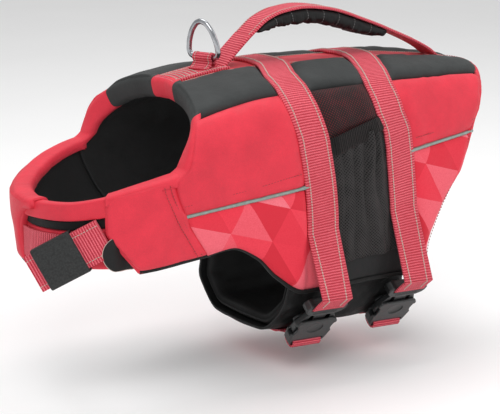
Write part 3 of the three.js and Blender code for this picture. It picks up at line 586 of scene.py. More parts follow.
def faceted_finish(name, colour, light, dark):
    """The tone-on-tone print: a net of triangles, each with its own shade."""
    f = Finish(name)
    space = f.spot()
    apart = f.tree.nodes.new("ShaderNodeSeparateXYZ")
    f.put(space, apart.inputs[0])
    along, across = apart.outputs[0], apart.outputs[2]
    size = 46.0
    turned = f.math("MULTIPLY_ADD", along, 0.3, across)
    slant = f.math("MULTIPLY_ADD", turned, -0.45, along)
    a = f.math("DIVIDE", slant, size)
    b = f.math("DIVIDE", turned, size * 0.8)
    half = f.math("GREATER_THAN", f.math("ADD", f.math("FRACT", a), f.math("FRACT", b)), 1.0)
    cell = f.tree.nodes.new("ShaderNodeCombineXYZ")
    f.put(f.math("FLOOR", a), cell.inputs[0])
    f.put(f.math("FLOOR", b), cell.inputs[1])
    f.put(half, cell.inputs[2])
    chance = f.tree.nodes.new("ShaderNodeTexWhiteNoise")
    chance.noise_dimensions = "3D"
    f.put(cell.outputs[0], chance.inputs["Vector"])
    value = chance.outputs["Value"]
    tone = f.mix(f.limits(value, 0.0, 0.55), dark, colour)
    tone = f.mix(f.limits(value, 0.55, 1.0), tone, light)
    fine = f.cloud(space, 1.0, 2.0, 0.8)
    speck = f.mix(f.limits(fine, 0.3, 0.75, 0.0, 0.4), tone, dark)
    thread = weave(f, 1.1)
    height = f.math("ADD", f.math("MULTIPLY", thread, 0.5), f.math("MULTIPLY", fine, 0.7))
    normal = f.relief(height, 0.14, 0.5, f.relief(f.cloud(space, 9.0, 4.0, 0.55), 1.1, 0.5))
    return f.wear(speck, f.limits(fine, 0.2, 0.8, 0.52, 0.74), normal, 0.03, specular_ior_level=0.3)


def webbing_finish(name, shaded_valley, lit_crest, pitch=2.7, shade=0.0):
    """Flat webbing with ribs across it and a slight herringbone in the threads; the ribs are painted with
    shade in their valleys and a highlight on their crests.
    """
    f = Finish(name)
    along, across, _ = f.place()
    space = f.spot()
    bend = f.math("MULTIPLY", f.math("PINGPONG", across, 1.1), 0.35)
    wobble = f.math("MULTIPLY", f.cloud(space, 6.0, 2.0), 0.8)
    path = f.math("ADD", f.math("ADD", along, bend), wobble)
    rib = f.math("SINE", f.math("MULTIPLY", path, 2 * math.pi / pitch))
    thread = f.math("SINE", f.math("MULTIPLY", across, 2 * math.pi / 1.1))
    fine = f.cloud(space, 1.2, 3.0, 0.75)
    # painted shade and highlight: the colour follows the ribs' height, darker in the valleys and lighter on
    # the crests
    tone = f.math("ADD", f.limits(rib, -1, 1), f.limits(fine, 0.3, 0.7, -0.3, 0.3))
    base = f.mix(f.limits(tone, 0.1, 1.0), shaded_valley, lit_crest)
    dull = f.limits(f.cloud(space, 40.0, 3.0), 0.35, 0.65, 0.0, 0.25 + shade)
    base = f.mix(dull, base, shaded_valley)
    height = f.math("ADD", rib, f.math("MULTIPLY", thread, 0.25))
    normal = f.relief(height, 0.5, 0.75, f.relief(fine, 0.3, 0.4))
    return f.wear(base, 0.66, normal, 0.06, (1, 0.7, 0.7), specular_ior_level=0.25)


def mesh_finish(name, thread_colour, shaded_behind, pitch=2.1, open_share=0.35):
    """Knitted mesh whose holes show the cloth behind, painted much darker as the shade under the mesh."""
    f = Finish(name)
    along, across, _ = f.place()
    space = f.spot()
    turn = 2 * math.pi / pitch
    a = f.math("MULTIPLY", f.math("ADD", along, across), turn * 0.5)
    b = f.math("MULTIPLY", f.math("SUBTRACT", along, across), turn * 0.5)
    hole = f.math("MULTIPLY", f.math("COSINE", a), f.math("COSINE", b))
    fine = f.cloud(space, 12.0, 3.0)
    level = f.math("ADD", f.math("ABSOLUTE", hole), f.limits(fine, 0.3, 0.7, -0.18, 0.18))
    gap = f.limits(level, 1.0 - open_share - 0.14, 1.0 - open_share + 0.2)
    # the holes are painted with the cloth behind the mesh, darkened as painted shade
    base = f.mix(gap, thread_colour, shaded_behind)
    normal = f.relief(f.math("SUBTRACT", 1.0, gap), 0.55, 0.7)
    return f.wear(base, 0.74, normal, 0.03, (1, 0.8, 0.8), specular_ior_level=0.2)


def thread_finish(name, colour, dark):
    """Sewing thread."""
    f = Finish(name)
    space = f.spot()
    twist = f.cloud(space, 0.6, 2.0)
    return f.wear(f.mix(f.limits(twist, 0.3, 0.7), dark, colour), 0.5,
                  f.relief(twist, 0.15, 0.5), 0.2, specular_ior_level=0.5)


def piping_finish(name, colour, dark):
    """Piping covered with a band of fine reflective beads."""
    f = Finish(name)
    along, _, _ = f.place()
    space = f.spot()
    beads = f.cells(space, 0.8).outputs[0]
    fine = f.cloud(space, 5.0, 4.0)
    base = f.mix(f.limits(fine, 0.3, 0.75), colour, dark)
    twill = f.math("SINE", f.math("MULTIPLY", along, 2 * math.pi / 2.2))
    normal = f.relief(f.math("ADD", f.math("MULTIPLY", twill, 0.4), beads), 0.25, 0.45)
    return f.wear(base, 0.36, normal, 0.15, metallic=0.25, specular_ior_level=0.6)


def moulded_finish(name, colour, wear_colour, rough=0.38, grain=1.4, depth=0.05):
    """Moulded plastic: fine grain, and faint flow marks and slightly rubbed patches that lie at random."""
    f = Finish(name)
    space = f.spot()
    fine = f.cloud(space, grain, 3.0, 0.7)
    wide = f.cloud(space, 22.0, 3.0)
    base = f.mix(f.limits(wide, 0.35, 0.7, 0.0, 0.7), colour, wear_colour)
    normal = f.relief(fine, depth, 0.6)
    return f.wear(base, f.limits(fine, 0.25, 0.75, rough - 0.07, rough + 0.1), normal, 0.0,
                  coat_weight=0.15, coat_roughness=0.3, specular_ior_level=0.5)


def grained_finish(name, colour, lit_crest):
    """Soft grained plastic, like the grip patch on a rain cover; its pebbles are painted lighter in their
    middles and darker at their rims, as painted light and shade.
    """
    f = Finish(name)
    space = f.spot()
    pebble = f.cells(space, 1.7, "SMOOTH_F1").outputs[0]
    fine = f.cloud(space, 0.7, 2.0)
    # painted light and shade: each pebble is painted lighter in its middle and darker towards its rim
    base = f.mix(f.limits(pebble, 0.1, 0.7), lit_crest, colour)
    normal = f.relief(f.math("MULTIPLY_ADD", fine, 0.3, pebble), 0.5, 0.8)
    return f.wear(base, 0.52, normal, 0.0, specular_ior_level=0.4)


def metal_finish(name, colour, dark):
    """Bright metal wire with a little wear."""
    f = Finish(name)
    space = f.spot()
    brushed = f.cloud(space, 3.0, 5.0, 0.7)
    base = f.mix(f.limits(f.cloud(space, 14.0, 3.0), 0.35, 0.7), colour, dark)
    return f.wear(base, f.limits(brushed, 0.3, 0.7, 0.12, 0.27), f.relief(brushed, 0.04, 0.4),
                  0.0, metallic=1.0)


MATERIALS = {}


def material(name):
    """The finish with this name, made once."""
    if name not in MATERIALS:
        make_finishes()
    return MATERIALS[name]


def make_finishes():
    """All the finishes of the jacket by name."""
    jacket = bpy.context.scene.life_jacket
    red = tuple(jacket.red)
    deep = tuple(c * 0.72 for c in red)
    MATERIALS.update({
        "red": woven_finish("red_cloth", red, deep, sheen=0.03),
        "facets": faceted_finish("faceted_print", red, (0.9, 0.2, 0.25), (0.6, 0.012, 0.03)),
        "charcoal": woven_finish("charcoal_cloth", tuple(jacket.charcoal), (0.024, 0.026, 0.026),
                                 1.1, 0.03, 0.66, 0.25),
        "black": woven_finish("black_lining", (0.010, 0.010, 0.0105), (0.005, 0.005, 0.005),
                              1.3, 0.0, 0.6, 0.3),
        "binding": woven_finish("black_binding", (0.008, 0.008, 0.008), (0.004, 0.004, 0.004),
                                1.6, 0.02, 0.62, 0.25),
        # the webbing's two colours are the painted shade in its rib valleys and the painted highlight on its
        # rib crests
        "webbing": webbing_finish("red_webbing", (0.5, 0.02, 0.04), (0.9, 0.17, 0.22), jacket.rib_pitch),
        # the second colour of each mesh is the cloth seen through its holes, darkened as painted shade
        "mesh_fine": mesh_finish("fine_mesh", (0.013, 0.011, 0.011), (0.13, 0.012, 0.017), 3.4, 0.36),
        "mesh_open": mesh_finish("open_mesh", (0.04, 0.037, 0.037), (0.001, 0.001, 0.001), 3.4, 0.5),
        # the elastic's two colours are likewise painted shade in its rib valleys and a painted highlight on
        # its crests
        "elastic": webbing_finish("black_elastic", (0.001, 0.001, 0.001), (0.004, 0.004, 0.004), 2.2),
        "piping": piping_finish("reflective_piping", (0.27, 0.36, 0.33), (0.18, 0.25, 0.22)),
        "thread": thread_finish("pale_thread", (0.66, 0.55, 0.47), (0.4, 0.28, 0.25)),
        "thread_red": thread_finish("red_thread", (0.42, 0.008, 0.02), (0.22, 0.004, 0.01)),
        "thread_dark": thread_finish("grey_thread", (0.2, 0.19, 0.19), (0.08, 0.08, 0.08)),
        "plastic": moulded_finish("satin_plastic", (0.009, 0.0095, 0.01), (0.017, 0.018, 0.019), 0.3),
        # the patch's second colour is the painted highlight on its pebbles
        "patch": grained_finish("grained_patch", (0.009, 0.0095, 0.0095), (0.024, 0.026, 0.026)),
        "metal": metal_finish("dark_polished_metal", (0.5, 0.51, 0.53), (0.24, 0.25, 0.27)),
    })


# ---------------------------------------------------------------- padded panels
def pinch(value, low, high, per_unit, width):
    """0 at a sewn line or under a strap, rising to 1 within width millimetres of it."""
    away = np.maximum(np.maximum(low - value, value - high), 0) * per_unit
    return np.sqrt(np.clip(1 - (1 - np.clip(away / width, 0, 1)) ** 2, 0, 1))


def body_panel(name, columns, rows, finish, replaces, slot, density=(3.2, 3.2), puff=None,
               column_pinches=(), row_pinches=(), crease=1.0, width=13.0, outer=COVER_OUT, seed=1, inner=0.0,
               pleats=None):
    """One cover panel with its padding swelling between the seams."""
    jacket = bpy.context.scene.life_jacket
    puff = jacket.puff if puff is None else puff
    probe = body_point(np.linspace(*columns, 30)[:, None], np.linspace(*rows, 30)[None])
    long = np.linalg.norm(np.diff(probe, axis=0), axis=-1).sum(0).mean()
    tall = np.linalg.norm(np.diff(probe, axis=1), axis=-1).sum(1).mean()
    u = np.linspace(*columns, max(3, int(long / density[0])))
    v = np.linspace(*rows, max(3, int(tall / density[1])))
    c, r = np.meshgrid(u, v, indexing="ij")
    point, _, out = body_frame(c, r)
    per_column = np.linalg.norm(np.gradient(point, u, axis=0), axis=-1)
    per_row = np.linalg.norm(np.gradient(point, v, axis=1), axis=-1)
    swell = np.ones_like(c)
    nearest = np.full_like(c, 1e3)
    for low, high in column_pinches:
        swell *= pinch(c, low, high, per_column, width)
        nearest = np.minimum(nearest, np.maximum(np.maximum(low - c, c - high), 0) * per_column)
    for low, high in row_pinches:
        swell *= pinch(r, low, high, per_row, width)
        nearest = np.minimum(nearest, np.maximum(np.maximum(low - r, r - high), 0) * per_row)
    uv = arc_uv(point)
    pucker = np.zeros_like(c)
    for low, high in row_pinches:
        away = np.maximum(np.maximum(low - r, r - high), 0) * per_row
        flat = np.stack([uv[..., 0] / 7.5, uv[..., 1] / 46.0, 0 * c + seed], -1)
        pucker += noise(flat, 1.0, seed + 7) * np.exp(-away / 11.0) * ease(away / 3.0)
    for low, high in column_pinches:
        away = np.maximum(np.maximum(low - c, c - high), 0) * per_column
        flat = np.stack([uv[..., 0] / 46.0, uv[..., 1] / 8.5, 0 * c + seed], -1)
        pucker += noise(flat, 1.0, seed + 17) * np.exp(-away / 12.0) * ease(away / 3.0)
    drag = noise(np.stack([uv[..., 0] / 60 + uv[..., 1] / 90, uv[..., 1] / 22, 0 * c], -1), 1.0, seed + 3)
    lumps = noise(point, 42.0, seed) * 1.3 + noise(point, 17.0, seed + 5) * 0.42
    lift = puff * swell + crease * swell * (lumps + 0.7 * drag) + crease * 1.15 * pucker * ease(nearest / 4.0)
    if pleats is not None:
        lift = lift + pleats(c, r, uv)
    low_side = point + out * (inner if inner else COVER_OUT - 2.2)
    high_side = point + out * (outer + lift)[..., None]
    points, faces, place = layered(high_side, low_side)
    return new_mesh(name, points, faces, material(finish), place, replaces=replaces, slot=slot)


def sided(side, low, high):
    return (-high, -low) if side < 0 else (low, high)


def make_panels():
    """The padded body panels, the lining and the two mesh pockets."""
    foam_back = body_panel(
        "back_panel", (FIRST, LAST), (-BOUND_ROW, BOUND_ROW), "charcoal", ("back_foam", "back_cover"),
        "charcoal_cover", column_pinches=((-1, NECK_FULL), STRAP_FRONT, STRAP_REAR, (LAST, 13)),
        row_pinches=((-4, -BOUND_ROW + 0.01), (-STRIP_ROW, STRIP_ROW), (BOUND_ROW - 0.01, 4)), seed=3)
    for side, label in ((-1, "left"), (1, "right")):
        bound = sided(side, BOUND_ROW, BOUND_ROW)[0]
        for end, span, pinches in (
                ("front", (FIRST, 4.5), ((-1, NECK_FULL), (STRAP_FRONT[0], 9))),
                ("rear", (7.5, LAST), ((-1, STRAP_REAR[1]), (LAST, 13)))):
            upper = body_panel(
                f"{end}_upper_panel_{label}", span, sided(side, BOUND_ROW, PIPING_ROW), "red",
                (f"{end}_foam_{label}", f"{end}_upper_cover_{label}"), "red_cover", column_pinches=pinches,
                row_pinches=((bound - 0.01, bound + 0.01), sided(side, PIPING_ROW - 0.02, 10)),
                seed=11 + 2 * side + (5 if end == "rear" else 0))
            lower = body_panel(
                f"{end}_lower_panel_{label}", span, sided(side, PIPING_ROW, LOW_ROW - 0.12), "facets",
                (f"{end}_lower_cover_{label}",), "printed_cover", column_pinches=pinches,
                row_pinches=(sided(side, 0, PIPING_ROW + 0.02), sided(side, LOW_ROW - 0.12, 11)),
                seed=23 + 2 * side + (5 if end == "rear" else 0))
        make_pocket(side, label)
    lining_columns, lining_rows = np.linspace(FIRST, LAST, 130), np.linspace(-8.85, 8.85, 150)
    c, r = np.meshgrid(lining_columns, lining_rows, indexing="ij")
    point, _, out = body_frame(c, r)
    slack = 1.2 * noise(point, 30.0, 5) + 0.6 * noise(point, 12.0, 6)
    outer = point - out * 12.0
    inner = point - out * (14.0 + slack)[..., None]
    points, faces, uv = layered(outer, inner)
    new_mesh("inner_lining", points, faces, material("black"), uv, replaces=("lining",), slot="black_cloth")


def make_pocket(side, label):
    """The mesh middle: a fine mesh above, an elastic hem and a gathered pocket below."""
    jacket = bpy.context.scene.life_jacket
    span = (4.5, 7.5)
    edges = ((-1, STRAP_FRONT[1]), (STRAP_REAR[0], 13))
    upper = body_panel(
        f"pocket_back_{label}", span, sided(side, BOUND_ROW, 5.2), "mesh_fine",
        (f"mesh_pocket_{label}",), "pocket_mesh", puff=0.8 * jacket.puff, column_pinches=edges,
        row_pinches=((sided(side, BOUND_ROW, BOUND_ROW)[0],) * 2, sided(side, 4.7, 10)),
        crease=0.9, seed=31 + side)

    def folds(c, r, uv):
        share = np.clip((np.abs(r) - HEM_ROW) / (LOW_ROW - HEM_ROW), 0, 1)
        full = ease((c - 5.0) / 0.35) * ease((7.0 - c) / 0.35)
        phase = (c - 5.0) * 1.9 - 1.1 * share + 0.5 * np.sin(share * 3 + c) + 0.6 * noise(
            np.stack([uv[..., 0] / 30, uv[..., 1] / 60, 0 * c], -1), 1.0, 41)
        wave = np.abs(np.sin(phase * math.pi)) ** 0.8
        deep = 0.6 + 0.5 * noise(np.stack([c * 2.0, share * 2.5, 0 * c], -1), 1.0, 43)
        return full * (1.0 + 8.0 * wave * deep * (1 - 0.3 * share) * ease((1 - share) / 0.08))

    lower = body_panel(
        f"pocket_front_{label}", span, sided(side, HEM_ROW, 8.3), "mesh_open", (), "pocket_mesh",
        density=(1.7, 3.0), puff=0.0, column_pinches=edges, row_pinches=(), crease=0.6, seed=37 + side,
        pleats=folds)
    band = body_panel(
        f"pocket_foot_{label}", span, sided(side, 8.2, LOW_ROW - 0.1), "black", (), "black_cloth",
        puff=1.6, column_pinches=edges, row_pinches=(sided(side, 0, 8.2), sided(side, LOW_ROW - 0.12, 11)),
        crease=0.6, seed=43 + side, width=8.0)
    hem_c = np.linspace(STRAP_FRONT[1] - 0.05, STRAP_REAR[0] + 0.05, 90)
    hem_r = np.linspace(-HEM_HALF, HEM_HALF, 9)
    c, below = np.meshgrid(hem_c, hem_r, indexing="ij")
    r = HEM_ROW + 0.18 - 0.165 * (c - 5.0) + below
    point, _, out = body_frame(c, side * r)
    ruche = 0.4 * np.abs(np.sin(c * 34.0)) * (1 - 0.3 * np.abs(below / HEM_HALF))
    edge = np.clip((HEM_HALF - np.abs(below)) / 0.05, 0, 1)
    full = ease((c - 4.95) / 0.3) * ease((7.05 - c) / 0.3)
    high = point + out * (3.4 + 3.0 * full + (0.9 + ruche) * np.sqrt(edge))[..., None]
    low = point + out * (3.2 + 2.6 * full - 0.6)[..., None]
    points, faces, uv = layered(high, low)
    new_mesh(f"pocket_hem_{label}", points, faces, material("elastic"), uv,
             replaces=(f"pocket_elastic_{label}",), slot="black_cloth")


# ---------------------------------------------------------------- bindings and piping
def folded_binding(edge, inward, out, reach, top=COVER_OUT, bottom=LINING_IN, plump=1.6, seed=1, wobble=0.35):
    """Tape folded over an edge: points, faces and texture places."""
    count = len(edge)
    steps = np.linspace(0, 1, 15)
    middle, half = (top + bottom) / 2, (top - bottom) / 2 + plump
    angle = (steps - 0.5) * math.pi
    stretch = np.abs(np.sin(angle)) ** 0.55 * np.sign(np.sin(angle))
    depth = np.cos(angle) ** 0.6
    bumps = noise(edge, 9.0, seed)[:, None] * wobble + noise(edge, 3.5, seed + 1)[:, None] * wobble * 0.5
    reach = np.broadcast_to(np.asarray(reach, float), (count,))
    reach = reach[:, None]
    ring = (edge[:, None] + inward[:, None] * (reach - (reach + 1.0) * depth[None])[..., None]
            + out[:, None] * (middle + (half + bumps) * stretch[None])[..., None])
    loop = np.concatenate([ring, (ring[:, -1:] - out[:, None] * 2.2), (ring[:, :1] + out[:, None] * 2.2)], 1)
    sides = loop.shape[1]
    faces = grid_faces(count, sides, wrap=True)
    faces.append(tuple(range(sides)))
    faces.append(tuple((count - 1) * sides + j for j in reversed(range(sides))))
    run = np.concatenate([[0], np.cumsum(np.linalg.norm(np.diff(edge, axis=0), axis=-1))])
    around = np.concatenate([steps, [1.05, -0.05]]) * 26.0
    uv = np.stack([np.repeat(run[:, None], sides, 1), np.tile(around, (count, 1))], -1)
    return loop.reshape(-1, 3), faces, uv.reshape(-1, 2)


def body_edge(columns, rows, inward_column=0.0, inward_row=0.0):
    """Points, inward directions and outward directions along an edge of the body."""
    point, _, out = body_frame(columns, rows)
    inside = body_point(np.clip(columns + inward_column, 0, 12), np.clip(rows + inward_row, -9, 9))
    inward = unit(inside - point)
    return point, inward, out


def make_bindings():
    """The tapes folded over the edges, and the reflective piping."""
    rows = np.linspace(-8.97, 8.97, 420)
    point, inward, out = body_edge(np.full_like(rows, 12.0), rows, inward_column=-0.25)
    points, faces, uv = folded_binding(point, inward, out, 9.5, top=COVER_OUT + 1.6, plump=1.2,
                                       seed=4, wobble=0.5)
    new_mesh("rear_edge_binding", points, faces, material("red"), uv,
             replaces=("rear_binding",), slot="red_cover")
    full = COVER_OUT + 0.8 * bpy.context.scene.life_jacket.puff
    for name, low, high, finish, replaces, slot in (
            ("neck_edge_left", -4.9, -2.9, "red", (), "red_cover"),
            ("neck_edge_charcoal_left", -2.9, -1.0, "charcoal", (), "charcoal_cover"),
            ("neck_edge_binding", -1.0, 1.0, "red", ("neck_binding",), "red_cover"),
            ("neck_edge_charcoal_right", 1.0, 2.9, "charcoal", (), "charcoal_cover"),
            ("neck_edge_right", 2.9, 4.9, "red", (), "red_cover")):
        rows = np.linspace(low, high, 90)
        point, inward, out = body_edge(np.zeros_like(rows), rows, inward_column=0.3)
        points, faces, uv = folded_binding(point, inward, out, 9.5, top=full, bottom=LINING_IN - 2.2,
                                           plump=0.2, seed=9, wobble=0.35)
        new_mesh(name, points, faces, material(finish), uv, replaces=replaces, slot=slot)
    for side, label in ((-1, "left"), (1, "right")):
        columns = np.linspace(0.1, 11.9, 360)
        low = np.full_like(columns, side * 9.0)
        point, inward, out = body_edge(columns, low, inward_row=-side * 0.3)
        points, faces, uv = folded_binding(point, inward, out, 5.0, plump=1.0, seed=14 + side, wobble=0.3)
        new_mesh(f"leg_edge_binding_{label}", points, faces, material("binding"), uv,
                 replaces=(f"leg_binding_{label}",), slot="black_cloth")
        for end, span in (("front", (0.1, 4.1)), ("rear", (7.9, 11.9))):
            columns = np.linspace(*span, 120)
            line, _, out = body_frame(columns, np.full_like(columns, side * PIPING_ROW))
            line = line + out * 3.4
            points, faces, uv = tube(line, 1.9 + 0.12 * noise(line, 5.0, 3), 10, normals=out)
            new_mesh(f"{end}_edge_piping_{label}", points, faces, material("piping"), uv,
                     replaces=(f"{end}_piping_{label}",), slot="reflective_piping")


# ---------------------------------------------------------------- straps over the back
def strip_grid(columns, rows, offset, edge_drop=0.9):
    """A grid of points for a flat strap, with its two long edges rounded."""
    count = len(columns)
    c, r = np.meshgrid(columns, rows, indexing="ij")
    share = np.linspace(0, 1, count)
    edge = 1 - np.clip(np.minimum(share, 1 - share) / 0.035, 0, 1)
    point, _, out = body_frame(c, r)
    high = point + out * (offset(c, r) - edge_drop * edge[:, None] ** 2)[..., None]
    return high, out


def across_stations(low, high):
    """Places across a strap, closer together near its edges."""
    inner = np.linspace(0.04, 0.96, 12)
    share = np.concatenate([[0.0, 0.015], inner, [0.985, 1.0]])
    return low + (high - low) * share


def buckle_frame(label):
    """Where a buckle lies: its origin and its across, along and face directions."""
    first = JOINTS[f"{label}_prong_a_squeeze"]
    axis = -np.array(JOINTS[f"{label}_release"]["axis"], float)
    face = np.array(first["axis"], float)
    across = unit(np.cross(face, axis))
    root = np.array(first["pos_m"], float) * 1000 - PLACE
    return root + across * 13.2 - axis * 16.5, across, axis, face


def strap_offset(c, r):
    """How high the strap's outer face rides: over the spine strip it is lifted."""
    crossing = straight([[0, 2.6], [1.15, 2.6], [1.9, 0.0], [9, 0.0]], np.abs(r))
    wave = 0.35 * noise(np.stack([c * 2, r * 3, 0 * r], -1), 1.0, 8)
    return WEB_IN + WEB_THICK + crossing + wave


def make_straps():
    """The two back straps, their free ends in the buckles and their stitching."""
    for span, label in ((STRAP_FRONT, "front"), (STRAP_REAR, "rear")):
        across = across_stations(*span)
        rows = np.linspace(-7.3, 8.82, 300)
        high, out = strip_grid(across, rows, strap_offset)
        low = high - out * 2.2
        origin, w_way, t_way, n_way = buckle_frame(label)
        share = np.linspace(-0.5, 0.5, len(across))
        # the free end's way into the buckle, as along and out of its bar
        spots = np.array([[-15, 9.2], [-6, 7.4], [-1, 6.7], [2.2, 6.5],
                          [4.2, 6.0], [5.5, 4.7], [6.1, 2.4], [6.1, -2.5]])
        tail_high, tail_low = [], []
        for k, (t, n) in enumerate(spots):
            before, after = spots[max(k - 1, 0)], spots[min(k + 1, len(spots) - 1)]
            way = unit(np.array([after - before]))[0]
            up = np.array([-way[1], way[0]])
            for shift, keep in ((1.0, tail_high), (-1.0, tail_low)):
                tt, nn = t + up[0] * shift, n + up[1] * shift
                keep.append(origin + w_way * (share * WEB_WIDTH)[:, None] + t_way * tt + n_way * nn)
        tail_high = np.stack(tail_high[::-1], 1)
        tail_low = np.stack(tail_low[::-1], 1)
        blend_rows = np.linspace(0, 1, 9)[1:-1]
        first_high, first_low = high[:, 0], low[:, 0]
        last_high, last_low = tail_high[:, -1], tail_low[:, -1]
        join_high = np.stack([last_high * (1 - s) + first_high * s for s in blend_rows], 1)
        join_low = np.stack([last_low * (1 - s) + first_low * s for s in blend_rows], 1)
        grid_high = np.concatenate([tail_high, join_high, high], 1)
        grid_low = np.concatenate([tail_low, join_low, low], 1)
        points, faces, uv = layered(grid_high.transpose(1, 0, 2), grid_low.transpose(1, 0, 2), True)
        piece = new_mesh(f"{label}_back_strap", points, faces, material("webbing"), uv, body=None,
                         replaces=(f"{label}_strap", f"{label}_strap_tail"), slot="webbing")
        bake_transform(piece)
        lines = []
        for inset in (0.21, 0.79):
            track = np.stack([np.interp(inset, np.linspace(0, 1, len(across)), grid_high[:, k, d])
                              for k in range(grid_high.shape[1]) for d in range(3)]).reshape(-1, 3)
            near = np.stack([np.interp(inset, np.linspace(0, 1, len(across)), grid_low[:, k, d])
                             for k in range(grid_low.shape[1]) for d in range(3)]).reshape(-1, 3)
            lines.append((track[5:], unit(track - near)[5:]))
        points, faces, uv = stitch_shapes(lines, pitch=3.0, length=2.3, radius=0.68)
        thread = new_mesh(f"{label}_back_strap_stitching", points, faces, material("thread"), uv, body=None,
                          slot="webbing")
        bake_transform(thread)


# ---------------------------------------------------------------- buckles
def in_buckle(shape, frame_of):
    """A shape moved from the buckle's own axes to its place."""
    origin, across, along, face = frame_of
    points, faces, _ = shape
    placed_points = origin + points[:, :1] * across + points[:, 1:2] * along + points[:, 2:3] * face
    return placed_points, faces, np.stack([points[:, 0], points[:, 1]], -1)


def outline_plate(outline, low, high, bevel=1.0):
    """A rounded plate with the given outline in across and along, between two heights."""
    shape = bmesh.new()
    verts = [shape.verts.new((w, t, low)) for w, t in outline]
    base = shape.faces.new(verts)
    lifted = bmesh.ops.extrude_face_region(shape, geom=[base])
    moved = [v for v in lifted["geom"] if isinstance(v, bmesh.types.BMVert)]
    bmesh.ops.translate(shape, verts=moved, vec=(0, 0, high - low))
    bmesh.ops.recalc_face_normals(shape, faces=shape.faces)
    if bevel:
        bmesh.ops.bevel(shape, geom=list(shape.edges), offset=bevel, segments=3, profile=0.6, affect="EDGES",
                        clamp_overlap=True)
    bmesh.ops.triangulate(shape, faces=[f for f in shape.faces if len(f.verts) > 4])
    shape.verts.index_update()
    points = np.array([v.co for v in shape.verts])
    faces = [tuple(v.index for v in f.verts) for f in shape.faces]
    shape.free()
    return points, faces, points[:, :2].copy()


def cut_away(piece, cutters):
    """Cuts boxes or plates out of a piece with exact booleans."""
    for shape in cutters:
        points, faces, uv = shape
        cutter = new_mesh("cutter", points, faces, material("plastic"), uv, body=None)
        change = piece.modifiers.new("cut", "BOOLEAN")
        change.operation = "DIFFERENCE"
        change.solver = "EXACT"
        change.object = cutter
        bpy.context.view_layer.objects.active = piece
        with bpy.context.temp_override(object=piece, active_object=piece):
            bpy.ops.object.modifier_apply(modifier=change.name)
        bpy.data.objects.remove(cutter)


def soft_edges(piece, width=0.6, angle=35):
    """A small bevel on the sharp edges of a plastic piece."""
    change = piece.modifiers.new("edges", "BEVEL")
    change.width = width / 1000.0
    change.segments = 2
    change.limit_method = "ANGLE"
    change.angle_limit = math.radians(angle)
    change.harden_normals = False
    bpy.context.view_layer.objects.active = piece
    with bpy.context.temp_override(object=piece, active_object=piece):
        bpy.ops.object.modifier_apply(modifier=change.name)


def mirrored(half):
    """A closed outline from its right half."""
    return list(half) + [(-w, t) for w, t in reversed(half)]


def moulded(name, shape, where, **more):
    """A plastic piece of the buckle at where."""
    points, faces, uv = in_buckle(shape, where)
    return new_mesh(name, points, faces, material("plastic"), uv, slot="buckle_plastic", **more)


THROUGH = 9  # a cutter from here to its opposite goes right through a buckle


def make_buckles():
    """The two side-release buckles: plug, tongue, squeeze arms and socket."""
    for label in ("front", "rear"):
        where = buckle_frame(label)
        bar = mirrored([(17, -0.6), (21, 0.4), (24.4, 4), (23.8, 9), (21, 12.5), (15, 15.2), (9, 16)])
        bar_piece = moulded(f"{label}_plug_bar", outline_plate(bar, -5.4, 5.4, 1.3), where,
                            body=f"{label}_plug", smooth=False, replaces=(f"{label}_buckle_plug",))
        slot = outline_plate(mirrored([(18.5, 4.4), (18.5, 7.8)]), -THROUGH, THROUGH, 0)
        ridge = [outline_plate(mirrored([(14, 9.5 + 1.9 * k), (14, 10.4 + 1.9 * k)]), 5.0, THROUGH, 0)
                 for k in range(2)]
        cut_away(bar_piece, [in_buckle(slot, where)] + [in_buckle(r, where) for r in ridge])
        tongue = [(-7.5, 13), (7.5, 13), (7.5, 36), (4, 47.5), (-4, 47.5), (-7.5, 36)]
        moulded(f"{label}_plug_tongue", outline_plate(tongue, -2.8, 2.8, 0.8), where,
                body=f"{label}_plug", smooth=True)
        for side, mark in ((-1, "a"), (1, "b")):
            arm = [(11.3, 15.4), (15.2, 15.4), (17.6, 21), (20.6, 27), (23.3, 32.5), (23.7, 36), (23.5, 40.5),
                   (21.6, 45), (18.6, 47.8), (14.4, 47.8), (13.2, 40), (13.4, 30), (11.8, 20)]
            shape = outline_plate([(w * side, t) for w, t in arm], -2.9, 2.9, 0.8)
            moulded(f"{label}_squeeze_arm_{mark}", shape, where, body=f"{label}_prong_{mark}",
                    replaces=(f"{label}_buckle_prong_{mark}",))
        half = [(12, 24.9), (17, 25.2), (21.5, 26.6), (24.2, 30), (24.2, 44), (22.8, 53), (21.5, 60),
                (19, 63.6)]
        socket = moulded(f"{label}_socket_body", outline_plate(mirrored(half), -6, 6, 1.7), where,
                         smooth=False, replaces=(f"{label}_buckle_socket",))
        room = outline_plate(mirrored([(27, 22), (27, 50)]), -3.4, 3.4, 0)
        slot = outline_plate(mirrored([(18.2, 55.4), (18.2, 59.2)]), -THROUGH, THROUGH, 0)
        turns = np.linspace(0, 2 * math.pi, 28, endpoint=False)
        dish = outline_plate([(9.5 * math.cos(a), 38 + 7.5 * math.sin(a)) for a in turns], 5.1, THROUGH, 0)
        bite = [outline_plate([(side * 30, 31), (side * 30, 47.5), (side * 21.4, 45.5), (side * 20.2, 39),
                               (side * 21.4, 33)], -THROUGH, THROUGH, 0) for side in (-1, 1)]
        cut_away(socket, [in_buckle(s, where) for s in (room, slot, dish, *bite)])
        for piece in (bar_piece, socket):
            soft_edges(piece)


# ---------------------------------------------------------------- handle
HANDLE_CURVE = [[0, 0], [0.06, 0.27], [0.12, 0.53], [0.2, 0.82], [0.27, 0.94], [0.37, 1], [0.47, 0.96],
                [0.67, 0.69], [0.79, 0.48], [0.91, 0.25], [0.96, 0.13], [1, 0]]


